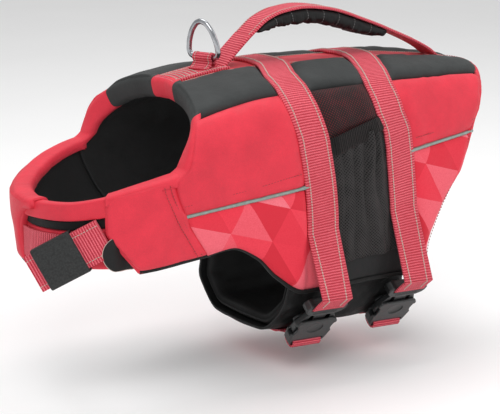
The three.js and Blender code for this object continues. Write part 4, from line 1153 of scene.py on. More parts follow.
def handle_point(t, side, drop):
    """A point on the handle: t along it, side across it, drop below its upper face."""
    front, rear = np.array([-54.64, 0, 283.45]), np.array([209.99, 0, 274.89])
    t, side, drop = np.broadcast_arrays(*(np.asarray(v, float) for v in (t, side, drop)))
    x = front[0] + (rear[0] - front[0]) * t
    z = front[2] + (rear[2] - front[2]) * t + HANDLE_RISE * curve(HANDLE_CURVE, t)
    h = 0.02
    low, high = np.clip(t - h, 0, 1), np.clip(t + h, 0, 1)
    run = (high - low) * (rear[0] - front[0])
    climb = (curve(HANDLE_CURVE, high) - curve(HANDLE_CURVE, low)) * HANDLE_RISE
    length = np.hypot(run, climb)
    return np.stack([x + drop * climb / length, side, z - drop * run / length], -1)


def make_handle():
    """The handle's webbing, its sewn ends, cover and stitches."""
    t = np.linspace(0.0, 1.0, 220)
    v = across_stations(-HANDLE_WIDTH / 2, HANDLE_WIDTH / 2)
    tt, vv = np.meshgrid(t, v, indexing="ij")
    edge = 1 - np.clip((HANDLE_WIDTH / 2 - np.abs(vv)) / 1.4, 0, 1)
    ripple = 0.4 * noise(np.stack([tt * 30, vv / 9, 0 * tt], -1), 1.0, 5)
    high = handle_point(tt, vv, 0.9 * edge ** 2 + ripple * 0.4)
    low = handle_point(tt, vv, 2.9 - 0.5 * edge ** 2)
    free = (t > 0.115) & (t < 0.885)
    points, faces, uv = layered(high[free], low[free])
    new_mesh("handle_webbing", points, faces, material("webbing"), uv, body="handle",
             replaces=("handle_strap",), slot="red_cover")
    for name, keep, fixed, moving in (("handle_front_root", t <= 0.12, 0.03, 0.11),
                                      ("handle_rear_root", t >= 0.88, 0.97, 0.89)):
        points, faces, uv = layered(high[keep], low[keep])
        root = new_mesh(name, points, faces, material("webbing"), uv, body=None, slot="webbing")
        tuple(placed(handle_point(fixed, 0.0, 0.0)))
        tuple(placed(handle_point(moving, 0.0, 0.0)))
        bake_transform(root)
    lines = []
    for share in (-0.8, 0.8):
        line = handle_point(t, share * HANDLE_WIDTH / 2, 0.0)
        up = unit(handle_point(t, share * HANDLE_WIDTH / 2, -1.0) - line)
        lines.append((line[free], up[free]))
    new_mesh("handle_webbing_stitching", *stitch_shapes(lines, 3.0, 2.2, 0.42)[:2], material("thread"),
             body="handle", slot="red_cover")
    make_grip()


def make_grip():
    """The quilted grip: padding sewn into segments, gathered along its lower edge."""
    t = np.linspace(0.15, 0.755, 260)
    around = np.linspace(0, 2 * math.pi, 40, endpoint=False)
    tt, aa = np.meshgrid(t, around, indexing="ij")
    taper = curve([[0.15, 0.22], [0.2, 0.62], [0.28, 0.95], [0.42, 1], [0.62, 0.95], [0.7, 0.7],
                   [0.755, 0.3]], tt)
    cells = 8.0
    phase = (tt - 0.15) / 0.605 * cells
    groove = np.abs(np.sin(phase * math.pi)) ** 0.45
    deep = (3.0 + 12.5 * taper) * (0.84 + 0.16 * groove)
    half = (HANDLE_WIDTH / 2 + 1.2) * (0.93 + 0.07 * groove)
    x = np.cos(aa)
    y = np.sin(aa)
    wide = half * np.sign(x) * np.abs(x) ** 0.55
    tall = np.sign(y) * np.abs(y) ** 0.7
    gather = 0.7 * noise(np.stack([tt * 95, aa * 1.3, 0 * tt], -1), 1.0, 9) * (y < 0.2)
    crumple = 0.6 * noise(np.stack([tt * 40, aa * 2.2, 0 * tt], -1), 1.0, 12)
    drop = 3.0 + deep * (0.5 - 0.5 * tall) + np.where(y > 0, 0.4, 1.0) * (gather + crumple)
    wide = wide + np.sign(x) * (gather + crumple) * 0.9
    grid = handle_point(tt, wide, drop)
    count, sides = grid.shape[:2]
    faces = grid_faces(count, sides, wrap=True)
    faces.append(tuple(range(sides)))
    faces.append(tuple((count - 1) * sides + j for j in reversed(range(sides))))
    uv = np.stack([tt * 265, aa * 9], -1)
    piece = new_mesh("padded_grip", grid.reshape(-1, 3), faces, material("black"), uv.reshape(-1, 2),
                     body="handle", replaces=("handle_grip",), slot="black_cloth")
    lines = []
    for k in range(1, int(cells)):
        at = 0.15 + 0.605 * k / cells
        index = int(np.argmin(np.abs(t - at)))
        ring = grid[index]
        mid = ring.mean(0)
        keep = np.r_[0:40, 0]
        lines.append((ring[keep], unit(ring[keep] - mid)))
    new_mesh("padded_grip_stitching", *stitch_shapes(lines, 2.6, 1.9, 0.32, 0.1)[:2], material("thread_dark"),
             body="handle", slot="black_cloth")


# ---------------------------------------------------------------- spine strip and ring
def make_spine():
    """The strip and webbing along the spine with their stitches."""
    columns = np.linspace(FIRST, LAST, 240)
    rows = across_stations(-1.0, 1.0)
    c, r = np.meshgrid(columns, rows, indexing="ij")
    point, _, out = body_frame(c, r)
    edge = 1 - np.clip((1 - np.abs(r)) / 0.08, 0, 1)
    ripple = 0.5 * noise(point, 14.0, 4)
    high = point + out * (STRIP_OUT + ripple - 0.8 * edge ** 2)[..., None]
    low = point + out * 1.6
    points, faces, uv = layered(high, low)
    new_mesh("spine_cover", points, faces, material("red"), uv, replaces=("spine_strip",), slot="red_cover")
    end = spine_column(-54) + 0.35
    columns = np.linspace(FIRST, end, 120)
    rows = across_stations(-0.82, 0.82)
    c, r = np.meshgrid(columns, rows, indexing="ij")
    point, _, out = body_frame(c, r)
    high = point + out * (6.4 + 0.3 * noise(point, 12.0, 6))[..., None]
    low = point + out * 3.9
    points, faces, uv = layered(high, low)
    new_mesh("spine_webbing_strip", points, faces, material("webbing"), uv,
             replaces=("spine_webbing",), slot="webbing")
    lines = []
    for row in (-0.66, 0.66):
        line, _, out = body_frame(np.linspace(FIRST + 0.15, end - 0.1, 60), np.full(60, row))
        lines.append((line + out * 6.4, out))
    for row in (-0.93, 0.93):
        line, _, out = body_frame(np.linspace(FIRST + 0.15, LAST - 0.1, 160), np.full(160, row))
        lines.append((line + out * STRIP_OUT, out))
    box_start, box_end = 0.35, 1.35
    for column in np.linspace(box_start, box_end, 6):
        line, _, out = body_frame(np.full(20, column), np.linspace(-0.66, 0.66, 20))
        lines.append((line + out * 6.5, out))
    new_mesh("spine_stitching", *stitch_shapes(lines, 2.8, 2.2, 0.45)[:2], material("thread"), slot="webbing")
    make_ring()


def make_ring():
    """The lead ring and the webbing loop that holds it."""
    joint = JOINTS["ring_pivot"]
    bar = np.array(joint["pos_m"]) * 1000 - PLACE
    way = unit(np.array(joint["axis"], float))
    lean = -0.14
    ahead = np.array([way[1], -way[0], 0.0])
    upright = np.array([0, 0, 1.0])
    up = upright * math.cos(lean) + ahead * math.sin(lean)
    half, height = 18.0, 36.8
    corner_points = [(half - 6, 0), (half - 2, 1.6), (half, 6), (half - 1.6, 16), (half - 6, 27),
                     (half - 12, 34.6)]
    ring_line = corner_points + [(0, height)] + [(-a, b) for a, b in reversed(corner_points)]
    dense = []
    closed = ring_line + ring_line[:1]
    for (a0, b0), (a1, b1) in zip(closed, closed[1:]):
        for s in np.linspace(0, 1, 8, endpoint=False):
            dense.append((a0 + (a1 - a0) * s, b0 + (b1 - b0) * s))
    dense = np.array(dense)
    for _ in range(6):
        dense = 0.25 * np.roll(dense, 1, 0) + 0.5 * dense + 0.25 * np.roll(dense, -1, 0)
    line = bar + way * dense[:, :1] + up * dense[:, 1:2]
    facing = np.cross(way, up)
    points, faces, uv = tube(line, 2.9, 16, closed=True, squash=0.82, normals=np.tile(facing, (len(line), 1)))
    new_mesh("lead_ring_bar", points, faces, material("metal"), uv, body="lead_ring", replaces=("lead_ring",),
             slot="ring_metal")
    angles = np.linspace(-0.85, math.pi + 0.85, 34)
    foot = bar - np.array([0, 0, 8.0])
    outline = [(11, -1.6), (8, -0.6), (5.5, 1.0)]
    outline += [(5.0 * math.cos(a), 8 + 5.0 * math.sin(a)) for a in angles]
    outline += [(-5.5, 1.0), (-8, -0.6), (-11, -1.6)]
    outline = np.array(outline)
    inner = [(11, -3.4), (7, -2.6), (2.6, -0.6)]
    inner += [(3.0 * math.cos(a), 8 + 3.0 * math.sin(a)) for a in angles]
    inner += [(-2.6, -0.6), (-7, -2.6), (-11, -3.4)]
    inner = np.array(inner)
    widths = across_stations(-11.0, 11.0)
    spread = way * widths[None, :, None]
    high = foot + ahead * outline[:, None, :1] + upright * outline[:, None, 1:2] + spread
    low = foot + ahead * inner[:, None, :1] + upright * inner[:, None, 1:2] + spread
    points, faces, uv = layered(high, low)
    new_mesh("ring_webbing_loop", points, faces, material("webbing"), uv, replaces=("ring_loop",),
             slot="webbing")
    lines = []
    for w in (-8.2, 8.2):
        track = foot + ahead * outline[:, :1] + upright * outline[:, 1:2] + way * w
        core = foot + ahead * inner[:, :1] + upright * inner[:, 1:2] + way * w
        lines.append((track, unit(track - core)))
    new_mesh("ring_loop_stitching", *stitch_shapes(lines, 2.6, 2.0, 0.4)[:2], material("thread"),
             slot="webbing")


# ---------------------------------------------------------------- collar and chest
def collar_sheet(name, reach, height, finish, replaces, slot, side=-1, outer=COVER_OUT, inner=FOAM_IN,
                 puff=5.0, seed=1, width=0.12, count=(90, 50), crease=1.0, lead=0.0):
    """A padded piece of the collar or chest between two reaches and two heights."""
    u = np.linspace(0, 1, count[0])
    v = np.linspace(0, 1, count[1])
    uu, vv = np.meshgrid(u, v, indexing="ij")
    rr, hh = reach(uu, vv), height(uu, vv)
    base = on_collar(rr, hh, side, 0.0)
    out = collar_out(rr, hh, side)
    side_u = rounded_edge(np.minimum(uu, 1 - uu) / width)
    side_v = rounded_edge(np.minimum(vv + lead, 1 - vv) / (width * 1.4))
    swell = side_u * side_v
    lumps = noise(base, 32.0, seed) * 1.2 + noise(base, 13.0, seed + 3) * 0.5
    lift = puff * swell + crease * swell * lumps
    high = base + out * (outer + lift)[..., None]
    low = base + out * (inner + (1 - swell) * 1.5 - 0.6 * crease * lumps * swell)[..., None]
    points, faces, uv = layered(high, low)
    return new_mesh(name, points, faces, material(finish), uv, replaces=replaces, slot=slot)


NEAR_END = [[0, 74], [0.42, 74], [0.7, 62], [1, 44]]
FAR_END = [[0, 188], [0.2, 168], [0.4, 156], [0.6, 152], [0.8, 156], [1, 164]]


def flap_end(height, side):
    """How far a shoulder flap reaches at a height."""
    return curve(NEAR_END if side < 0 else FAR_END, height)


def make_collar():
    """The shoulder flaps with their linings and tapes, and the chest closure."""
    for side, label in ((-1, "left"), (1, "right")):
        top_end, low_end = float(flap_end(0.0, side)), float(flap_end(1.0, side))

        def reach(u, v, side=side):
            start = seam_reach(v) - 4.0
            return start + (flap_end(v, side) - start) * u

        flap = collar_sheet(f"shoulder_flap_{label}", reach, lambda u, v: 0.035 + 0.93 * v, "red",
                            (f"shoulder_cover_{label}", f"shoulder_foam_{label}"), "red_cover", side=side,
                            puff=4.5, inner=-9.5, seed=51 + side, lead=0.14, width=0.09)
        collar_sheet(f"shoulder_lining_{label}", reach, lambda u, v: 0.03 + 0.94 * v, "black", (),
                     "black_cloth", side=side, outer=-9.6, inner=-13.0, puff=0.0, seed=61 + side,
                     crease=0.6)
        heights = np.linspace(0, 1, 90)
        # rim tape along the top
        line_reach = np.linspace(float(seam_reach(np.array([0.0]))[0]) - 10, top_end, 120)
        edge = on_collar(line_reach, 0.0, side, 0.0)
        out = collar_out(line_reach, 0.0, side)
        inward = unit(on_collar(line_reach, 0.2, side, 0.0) - edge)
        shape = folded_binding(edge, inward, out, 9.0, top=COVER_OUT + 3.6, bottom=LINING_IN - 2.2,
                               plump=0.2, seed=71 + side, wobble=0.35)
        new_mesh(f"shoulder_rim_tape_{label}", *shape[:2], material("red"), shape[2], slot="red_cover")
        # end and lower tape
        lower = np.linspace(low_end, float(seam_reach(np.array([1.0]))[0]) - 6, 70)
        low_edge = on_collar(lower, 1.0, side, 0.0)
        low_out = collar_out(lower, 1.0, side)
        low_in = unit(on_collar(lower, 0.8, side, 0.0) - low_edge)
        shape = folded_binding(low_edge, low_in, low_out, 5.0, plump=1.0, seed=81 + side, wobble=0.3)
        new_mesh(f"shoulder_low_tape_{label}", *shape[:2], material("binding"), shape[2], slot="black_cloth")
        end_reach = flap_end(heights, side)
        end_edge = on_collar(end_reach + 1.0, 0.01 + 0.98 * heights, side, 0.0)
        end_out = collar_out(end_reach, heights, side)
        end_in = unit(on_collar(end_reach - 6, 0.01 + 0.98 * heights, side, 0.0) - end_edge)
        shape = folded_binding(end_edge, end_in, end_out, 4.0, bottom=-9.0, plump=0.6, seed=91 + side,
                               wobble=0.3)
        new_mesh(f"shoulder_end_tape_{label}", *shape[:2], material("red"), shape[2], slot="red_cover")
    make_chest()


def make_chest():
    """The layers that close the chest between the two flaps."""
    start = 62.0

    def between(low, tall):
        """Reach from the near flap round to the far flap's curved end, between two heights."""
        def reach(u, v):
            return start + (2 * FRONT_REACH - flap_end(low + tall * v, 1) + 3.0 - start) * u
        return reach

    strip = collar_sheet("chest_collar", between(0.02, 0.25), lambda u, v: 0.02 + 0.25 * v,
                         "red", ("collar_strip",), "red_cover", outer=-3.2, inner=-10.5, puff=3.2, seed=101,
                         count=(110, 24), width=0.06)
    collar_sheet("chest_collar_lining", between(0.03, 0.9), lambda u, v: 0.03 + 0.9 * v,
                 "black", (), "black_cloth", outer=-10.6, inner=-12.6, puff=0.0, seed=103,
                 count=(90, 30), crease=0.6)
    collar_sheet("chest_hook_band", between(0.27, 0.13), lambda u, v: 0.27 + 0.13 * v,
                 "binding", ("chest_band",), "black_cloth", outer=-4.6, inner=-9.5, puff=1.2, seed=105,
                 count=(110, 16), width=0.06)
    pad = collar_sheet("chest_cushion", between(0.4, 0.54), lambda u, v: 0.40 + 0.54 * v,
                       "red", ("chest_pad",), "red_cover", outer=-7.5, inner=-10.8, puff=3.2, seed=107,
                       count=(110, 44), width=0.08)
    make_chest_tab()
    make_chest_strap()


def make_chest_tab():
    """The dark lobe that hangs from under the near flap over the root of the tail."""
    u = np.linspace(0, 1, 40)
    v = np.linspace(0, 1, 40)
    uu, vv = np.meshgrid(u, v, indexing="ij")
    height = 0.5 + 0.44 * vv
    rounded = np.sqrt(np.clip(1 - (2 * vv - 1) ** 2, 0, 1))
    inner_end = flap_end(height, -1) - 12
    outer_end = 62 + 16 * rounded
    reach = inner_end + (outer_end - inner_end) * uu
    base = on_collar(reach, height, -1, 0.0)
    out = collar_out(reach, height, -1)
    rise = 9.0 * ease((reach - 56) / 14.0)
    rim = rounded_edge(np.minimum(1 - uu, np.minimum(vv, 1 - vv)) / 0.12)
    high = base + out * (-3.4 + rise + 1.4 * rim + 0.4 * noise(base, 14.0, 5))[..., None]
    low = base + out * (-5.4 + rise)[..., None]
    points, faces, uv = layered(high, low)
    lobe = new_mesh("chest_underflap", points, faces, material("black"), uv, body=None,
                    replaces=("chest_tab",), slot="black_cloth")
    edge = np.concatenate([high[:, 0], high[-1, 1:-1], high[::-1, -1]])
    ways = np.concatenate([out[:, 0], out[-1, 1:-1], out[::-1, -1]])
    trim = new_mesh("chest_underflap_trim", *tube(edge, 0.45, 6, normals=ways)[:2], material("thread"),
                    body=None, slot="black_cloth")
    for piece in (lobe, trim):
        tuple(placed(on_collar(60.0, 0.7, -1, 0.0)))
        tuple(placed(on_collar(80.0, 0.7, -1, 0.0)))
        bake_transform(piece)


def make_chest_strap():
    """The webbing across the chest, its free tail and the grip sleeve."""
    reaches = np.linspace(104.0, 2 * FRONT_REACH - 160.0, 90)
    widths = across_stations(-0.4, 0.4) * WEB_WIDTH
    rr, ww = np.meshgrid(reaches, widths, indexing="ij")
    base = on_collar(rr, 0.66, -1, 0.0)
    out = collar_out(rr, 0.66, -1)
    high = base + out * (1.0 + 0.3 * noise(base, 15.0, 4))[..., None]
    low = base + out * -1.2
    high[..., 2] += ww
    low[..., 2] += ww
    points, faces, uv = layered(high, low)
    new_mesh("chest_webbing", points, faces, material("webbing"), uv, replaces=("neck_strap",),
             slot="webbing")
    tail = JOINTS["tail_swing"]
    up = unit(np.array(tail["axis"], float))
    run = unit(np.array(JOINTS["keeper_slide"]["axis"], float))
    face = unit(np.cross(up, run))
    root = np.array(tail["pos_m"]) * 1000 - PLACE - face * 6.3
    along = np.linspace(0, 78, 70)
    shapes = []
    wide = across_stations(-WEB_WIDTH / 2 - 0.5, WEB_WIDTH / 2 + 0.5)
    for low_n, high_n in ((0.2, 2.0), (2.1, 3.9), (4.0, 5.8)):
        aa, vv = np.meshgrid(along, wide, indexing="ij")
        spread = ease((aa - 62) / 16) * (low_n - 2.1) * 0.16
        wave = 0.25 * noise(np.stack([aa / 9, vv / 9, 0 * aa + low_n], -1), 1.0, 3)
        base = root + run * aa[..., None] + up * vv[..., None]
        shapes.append(layered(base + face * (high_n + spread + wave)[..., None],
                              base + face * (low_n + spread + wave)[..., None]))
    points, faces, uv = gathered(*shapes)
    new_mesh("chest_tail_webbing", points, faces, material("webbing"), uv, body="neck_tail",
             replaces=("neck_tail",), slot="webbing")
    lines = []
    for inset in (-13.5, 13.5):
        line = root + run * along[:, None] + up * inset + face * 5.9
        lines.append((line, np.tile(face, (len(along), 1))))
    new_mesh("chest_tail_stitching", *stitch_shapes(lines, 3.0, 2.2, 0.42)[:2], material("thread"),
             body="neck_tail", slot="webbing")
    start = 78 - 42 - 9
    turn = np.linspace(0, 2 * math.pi, 60, endpoint=False)
    sleeve_out, sleeve_in = [], []
    for a in turn:
        cw, cn = math.cos(a), math.sin(a)
        power = 0.22
        w = np.sign(cw) * abs(cw) ** power
        n = np.sign(cn) * abs(cn) ** power
        sleeve_out.append((w * 21.5, 3.0 + n * 5.4))
        sleeve_in.append((w * 19.6, 3.0 + n * 3.6))
    lengths = start + np.concatenate([[0, 0.6], np.linspace(1.6, 40.4, 24), [41.4, 42]])
    shrink = np.ones(len(lengths))
    shrink[[0, -1]] = 0.965
    outer_grid = np.array([[root + run * l + up * (w * s) + face * (3 + (n - 3) * s) for w, n in sleeve_out]
                           for l, s in zip(lengths, shrink)])
    inner_grid = np.array([[root + run * l + up * w + face * n for w, n in sleeve_in] for l in lengths])
    count, sides = outer_grid.shape[:2]
    faces = grid_faces(count, sides, wrap=True)
    faces += [tuple(reversed(f)) for f in grid_faces(count, sides, count * sides, wrap=True)]
    for row in (0, count - 1):
        for j in range(sides):
            k = (j + 1) % sides
            top, under = row * sides, count * sides + row * sides
            face_ids = (top + j, top + k, under + k, under + j)
            faces.append(face_ids if row else face_ids[::-1])
    points = np.concatenate([outer_grid.reshape(-1, 3), inner_grid.reshape(-1, 3)])
    new_mesh("grip_sleeve", points, faces, material("patch"), points[:, :2], body="tail_keeper",
             replaces=("tail_keeper",), slot="grip_patch")


# ---------------------------------------------------------------- belly
BELLY_PATH = [[0, -1, 64], [0.16, -0.98, 36], [0.28, -0.79, 14], [0.4, -0.5, 1], [0.5, 0, 0], [0.6, 0.5, 1],
              [0.72, 0.79, 14], [0.84, 0.98, 36], [1, 1, 64]]
BELLY_TURN = [[0, 0], [0.16, 0.15], [0.28, 0.9], [0.4, 1.35], [0.5, math.pi / 2], [0.6, 1.79], [0.72, 2.24],
              [0.84, 2.99], [1, math.pi]]


def belly_point(x, v, depth):
    """A point of the belly panel: along, round and into it."""
    x, v, depth = np.broadcast_arrays(*(np.asarray(k, float) for k in (x, v, depth)))
    half = half_width(x) - 27
    y = curve([[p[0], p[1]] for p in BELLY_PATH], v) * half
    z = curve([[p[0], p[2]] for p in BELLY_PATH], v) + 17
    turn = curve(BELLY_TURN, v)
    return np.stack([x, y + depth * np.cos(turn), z + depth * np.sin(turn)], -1)


# The webbing's way round the socket's bar, as out and along in millimetres.
SOCKET_LOOP = [(5.0, 57.6), (7.4, 60.0), (7.8, 63.4), (5.0, 66.0), (0.0, 66.8), (-5.0, 66.2), (-8.6, 62.0)]

# How far the belly panel's front edge is cut back, round the belly from side to side.
BELLY_SCOOP = [[0, 14], [0.2, 6], [0.5, 0], [0.8, 0], [1, 6]]


def make_belly():
    """The belly panel: a wrinkled cover round a foam pad whose front edge is rolled."""
    front, rear = -30, 130
    u = np.linspace(front, rear, 110)
    v = np.linspace(0, 1, 150)
    uu, vv = np.meshgrid(u, v, indexing="ij")
    scoop = straight(BELLY_SCOOP, vv) * (1 - np.clip((uu - front) / 60, 0, 1))
    base = belly_point(uu + scoop, vv, 0.0)
    inside = belly_point(uu + scoop, vv, 1.0) - base
    run = np.stack([uu / 26.0, vv * 14.0 + uu / 60, 0 * uu], -1)
    folds = noise(run, 1.0, 21) * 3.0 + noise(run * 2.3, 1.0, 22) * 1.5 + noise(base, 9.0, 23) * 0.5
    rim = ease(np.minimum(uu - front, rear - uu) / 9.0) * 0.8 + 0.2
    outer = base - inside * (1.2 + 1.6 * rim + folds * rim)[..., None]
    inner = base + inside * 1.4
    points, faces, uv = layered(outer, inner)
    new_mesh("belly_outer_cloth", points, faces, material("black"), uv,
             replaces=("belly_cover",), slot="black_cloth")
    u = np.linspace(0, 1, 90)
    uu, vv = np.meshgrid(u, v, indexing="ij")
    x = -26 + 152 * uu
    scoop = straight(BELLY_SCOOP, vv) * (1 - np.clip(uu / 0.4, 0, 1))
    fat = rounded_edge(np.minimum(uu, 1 - uu) / 0.07) * rounded_edge(np.minimum(vv, 1 - vv) / 0.035)
    lumps = noise(np.stack([x / 24, vv * 12, 0 * x], -1), 1.0, 31)
    mid = 8.6
    high = belly_point(x + scoop, vv, mid - 6.6 * fat)
    low = belly_point(x + scoop, vv, mid + (6.8 + lumps) * fat)
    points, faces, uv = layered(high, low)
    pad = new_mesh("belly_cushion", points, faces, material("black"), uv,
                   replaces=("belly_foam",), slot="black_cloth")
    for label, column in (("front", 4.5), ("rear", 7.5)):
        origin, w_way, t_way, n_way = buckle_frame(label)
        far = float(body_point(column, 8.6)[..., 0])
        steps = np.linspace(0, 1, 90)
        around = 0.36 + (0.93 - 0.36) * steps
        x = (origin[0] - 5) + (far - origin[0] + 5) * steps
        widths = across_stations(-0.5, 0.5) * WEB_WIDTH
        grid_high, grid_low = [], []
        for n, t in SOCKET_LOOP:
            centre = origin + t_way * t + n_way * n
            toward = unit(np.array([[n, t - 59.0]]))[0]
            outward = n_way * toward[0] + t_way * toward[1]
            grid_high.append(centre + w_way * (widths * 0.94)[:, None] + outward * 0.9)
            grid_low.append(centre + w_way * (widths * 0.94)[:, None] - outward * 0.9)
        for xx, aa in zip(x, around):
            base = belly_point(xx + widths, aa, 0.0)
            way = belly_point(xx + widths, aa, 1.0) - base
            lift = 3.9 + 0.6 * math.sin(aa * 40)
            grid_high.append(base - way * (lift + 1.0))
            grid_low.append(base - way * (lift - 1.0))
        points, faces, uv = layered(np.array(grid_high), np.array(grid_low), True)
        new_mesh(f"{label}_underbelly_webbing", points, faces, material("webbing"), uv,
                 replaces=(f"{label}_belly_webbing",), slot="webbing")


# ---------------------------------------------------------------- seams on the body
def make_seams():
    """Visible rows of stitches on the panels and tapes."""
    red_lines, dark = [], []
    jacket = bpy.context.scene.life_jacket
    for side in (-1, 1):
        for span in ((0.15, 3.9), (8.1, 11.75)):
            columns = np.linspace(*span, 120)
            line, _, out = body_frame(columns, np.full(120, side * (PIPING_ROW - 0.42)))
            red_lines.append((line + out * (COVER_OUT + 5.0), out))
            line, _, out = body_frame(columns, np.full(120, side * (BOUND_ROW + 0.12)))
            red_lines.append((line + out * (COVER_OUT + 1.2), out))
    rows = np.linspace(-8.8, 8.8, 300)
    line, _, out = body_frame(np.full(300, 11.72), rows)
    dark.append((line + out * 5.0, out))
    for side in (-1, 1):
        heights = np.linspace(0.06, 0.94, 90)
        for inset, rise in ((3.0, 4.2), (8.5, 5.6)):
            reach = seam_reach(heights) + inset
            out = collar_out(reach, heights, side)
            red_lines.append((on_collar(reach, heights, side, 0.0) + out * (COVER_OUT + rise), out))
    new_mesh("panel_stitching", *stitch_shapes(red_lines, jacket.stitch_pitch, 2.4, 0.4, 0.1)[:2],
             material("thread_red"), slot="red_cover")
    new_mesh("tape_stitching", *stitch_shapes(dark, jacket.stitch_pitch, 2.2, 0.4, 0.1)[:2],
             material("thread_red"), slot="red_cover")


# ---------------------------------------------------------------- floor, lights and camera
def make_stage():
    """The floor, the lights and the camera."""
    bpy.ops.mesh.primitive_plane_add(size=30, location=(0, 0, -0.03))
    floor = bpy.context.object
    floor.name = "studio_floor"
    f = Finish("pale_floor")
    space = f.spot()
    f.wear(f.mix(f.limits(f.cloud(space, 400.0, 2.0), 0.3, 0.7), (0.93, 0.93, 0.93), (0.95, 0.95, 0.95)), 0.9)
    floor.data.materials.append(f.material)
    world = bpy.data.worlds.new("studio")
    bpy.context.scene.world = world
    world.use_nodes = True
    world.node_tree.nodes["Background"].inputs[0].default_value = (1, 1, 1, 1)
    world.node_tree.nodes["Background"].inputs[1].default_value = 0.62
    bpy.context.scene.view_settings.view_transform = "Standard"
    middle = Vector(tuple(placed([0.0, 0.0, 150.0])))
    for name, place, size, power, tint in (
            ("key", (-0.9, -1.5, 1.7), 1.1, 17.0, (1, 1, 1)),
            ("fill", (1.5, -1.2, 0.9), 1.4, 6.0, (1, 1, 1)),
            ("top", (0.1, 0.4, 2.0), 1.5, 20.0, (1, 1, 1))):
        data = bpy.data.lights.new(name, "AREA")
        data.energy = power
        data.size = size
        data.color = tint
        lamp = bpy.data.objects.new(name, data)
        lamp.location = Vector(place)
        lamp.rotation_euler = (middle - lamp.location).to_track_quat("-Z", "Y").to_euler()
        bpy.context.scene.collection.objects.link(lamp)
    turn, rise, distance = math.radians(-32), math.radians(13), 1.9
    back = Vector((math.sin(turn) * math.cos(rise), -math.cos(turn) * math.cos(rise), math.sin(rise)))
    data = bpy.data.cameras.new("camera")
    camera = bpy.data.objects.new("camera", data)
    bpy.context.scene.collection.objects.link(camera)
    camera.location = middle + back * distance
    camera.rotation_euler = (-back).to_track_quat("-Z", "Y").to_euler()
    data.lens = 36.0 * 1862 / 500
    data.sensor_width = 36.0
    data.shift_x = -12 / 500
    data.shift_y = -17 / 500
    data.clip_start = 0.05
    bpy.context.scene.camera = camera


# ---------------------------------------------------------------- the add-on
class JacketSettings(bpy.types.PropertyGroup):
    """Sizes and colours that a maker would change."""
    red: bpy.props.FloatVectorProperty(
        name="Red cloth", description="Colour of the side panels, tapes and spine cover",
        subtype="COLOR", size=3, min=0, max=1, default=(0.82, 0.036, 0.066))
    charcoal: bpy.props.FloatVectorProperty(
        name="Charcoal cloth", description="Colour of the back panel",
        subtype="COLOR", size=3, min=0, max=1, default=(0.047, 0.051, 0.051))
    puff: bpy.props.FloatProperty(
        name="Padding swell", description="How far a padded panel swells between its seams, in millimetres",
        default=5.5, min=0, max=12)
    rib_pitch: bpy.props.FloatProperty(
        name="Webbing rib pitch", description="Distance between the ribs of the webbing, in millimetres",
        default=2.7, min=1, max=6)
    stitch_pitch: bpy.props.FloatProperty(
        name="Stitch pitch", description="Distance between stitches along a seam, in millimetres",
        default=3.2, min=1.5, max=8)


class JACKET_OT_panels(bpy.types.Operator):
    """Sew the padded body panels, the mesh pockets and the lining"""
    bl_idname = "jacket.panels"
    bl_label = "Body Panels"

    def execute(self, context):
        make_panels()
        return {"FINISHED"}


class JACKET_OT_bindings(bpy.types.Operator):
    """Fold the tapes over the edges and lay the piping"""
    bl_idname = "jacket.bindings"
    bl_label = "Bindings and Piping"

    def execute(self, context):
        make_bindings()
        return {"FINISHED"}


class JACKET_OT_seams(bpy.types.Operator):
    """Add the visible stitches of the panels and tapes"""
    bl_idname = "jacket.seams"
    bl_label = "Panel Seams"

    def execute(self, context):
        make_seams()
        return {"FINISHED"}


class JACKET_OT_spine(bpy.types.Operator):
    """Lay the spine cover, its webbing and the lead ring"""
    bl_idname = "jacket.spine"
    bl_label = "Spine and Lead Ring"

    def execute(self, context):
        make_spine()
        return {"FINISHED"}


class JACKET_OT_straps(bpy.types.Operator):
    """Lay the two stitched straps over the back"""
    bl_idname = "jacket.straps"
    bl_label = "Back Straps"

    def execute(self, context):
        make_straps()
        return {"FINISHED"}


class JACKET_OT_belly(bpy.types.Operator):
    """Make the belly cushion, its cloth and the webbing under it"""
    bl_idname = "jacket.belly"
    bl_label = "Belly Panel"

    def execute(self, context):
        make_belly()
        return {"FINISHED"}


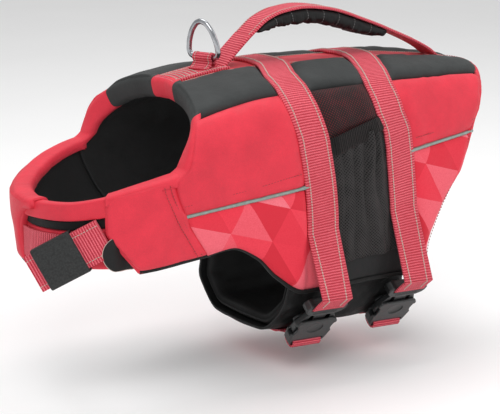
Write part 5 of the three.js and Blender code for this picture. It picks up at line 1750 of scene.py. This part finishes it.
class JACKET_OT_buckles(bpy.types.Operator):
    """Make the two side-release buckles"""
    bl_idname = "jacket.buckles"
    bl_label = "Buckles"

    def execute(self, context):
        make_buckles()
        return {"FINISHED"}


class JACKET_OT_handle(bpy.types.Operator):
    """Make the carry handle and its quilted grip"""
    bl_idname = "jacket.handle"
    bl_label = "Handle"

    def execute(self, context):
        make_handle()
        return {"FINISHED"}


class JACKET_OT_collar(bpy.types.Operator):
    """Make the shoulder flaps and the chest closure"""
    bl_idname = "jacket.collar"
    bl_label = "Collar and Chest"

    def execute(self, context):
        make_collar()
        return {"FINISHED"}


class JACKET_OT_stage(bpy.types.Operator):
    """Set up the floor, the lights and the camera"""
    bl_idname = "jacket.stage"
    bl_label = "Stage"

    def execute(self, context):
        make_stage()
        return {"FINISHED"}


STEPS = [JACKET_OT_panels, JACKET_OT_bindings, JACKET_OT_seams, JACKET_OT_spine,
         JACKET_OT_straps, JACKET_OT_belly, JACKET_OT_buckles, JACKET_OT_handle,
         JACKET_OT_collar, JACKET_OT_stage]


class JACKET_PT_sidebar(bpy.types.Panel):
    """Lists the steps of the jacket."""
    bl_label = "Life Jacket"
    bl_idname = "JACKET_PT_sidebar"
    bl_space_type = "VIEW_3D"
    bl_region_type = "UI"
    bl_category = "Life Jacket"

    def draw(self, context):
        settings = context.scene.life_jacket
        for name in ("red", "charcoal", "puff", "rib_pitch", "stitch_pitch"):
            self.layout.prop(settings, name)
        for operator in STEPS:
            self.layout.operator(operator.bl_idname)


CLASSES = [JacketSettings, *STEPS, JACKET_PT_sidebar]


def register():
    """Registers the classes and the settings."""
    for item in CLASSES:
        bpy.utils.register_class(item)
    bpy.types.Scene.life_jacket = bpy.props.PointerProperty(type=JacketSettings)


def unregister():
    """Takes the classes and the settings away again."""
    del bpy.types.Scene.life_jacket
    for item in reversed(CLASSES):
        bpy.utils.unregister_class(item)


def main():
    """Makes the jacket, one step after the other."""
    register()
    for operator in STEPS:
        family, name = operator.bl_idname.split(".")
        getattr(getattr(bpy.ops, family), name)()


if __name__ == "__main__":
    main()
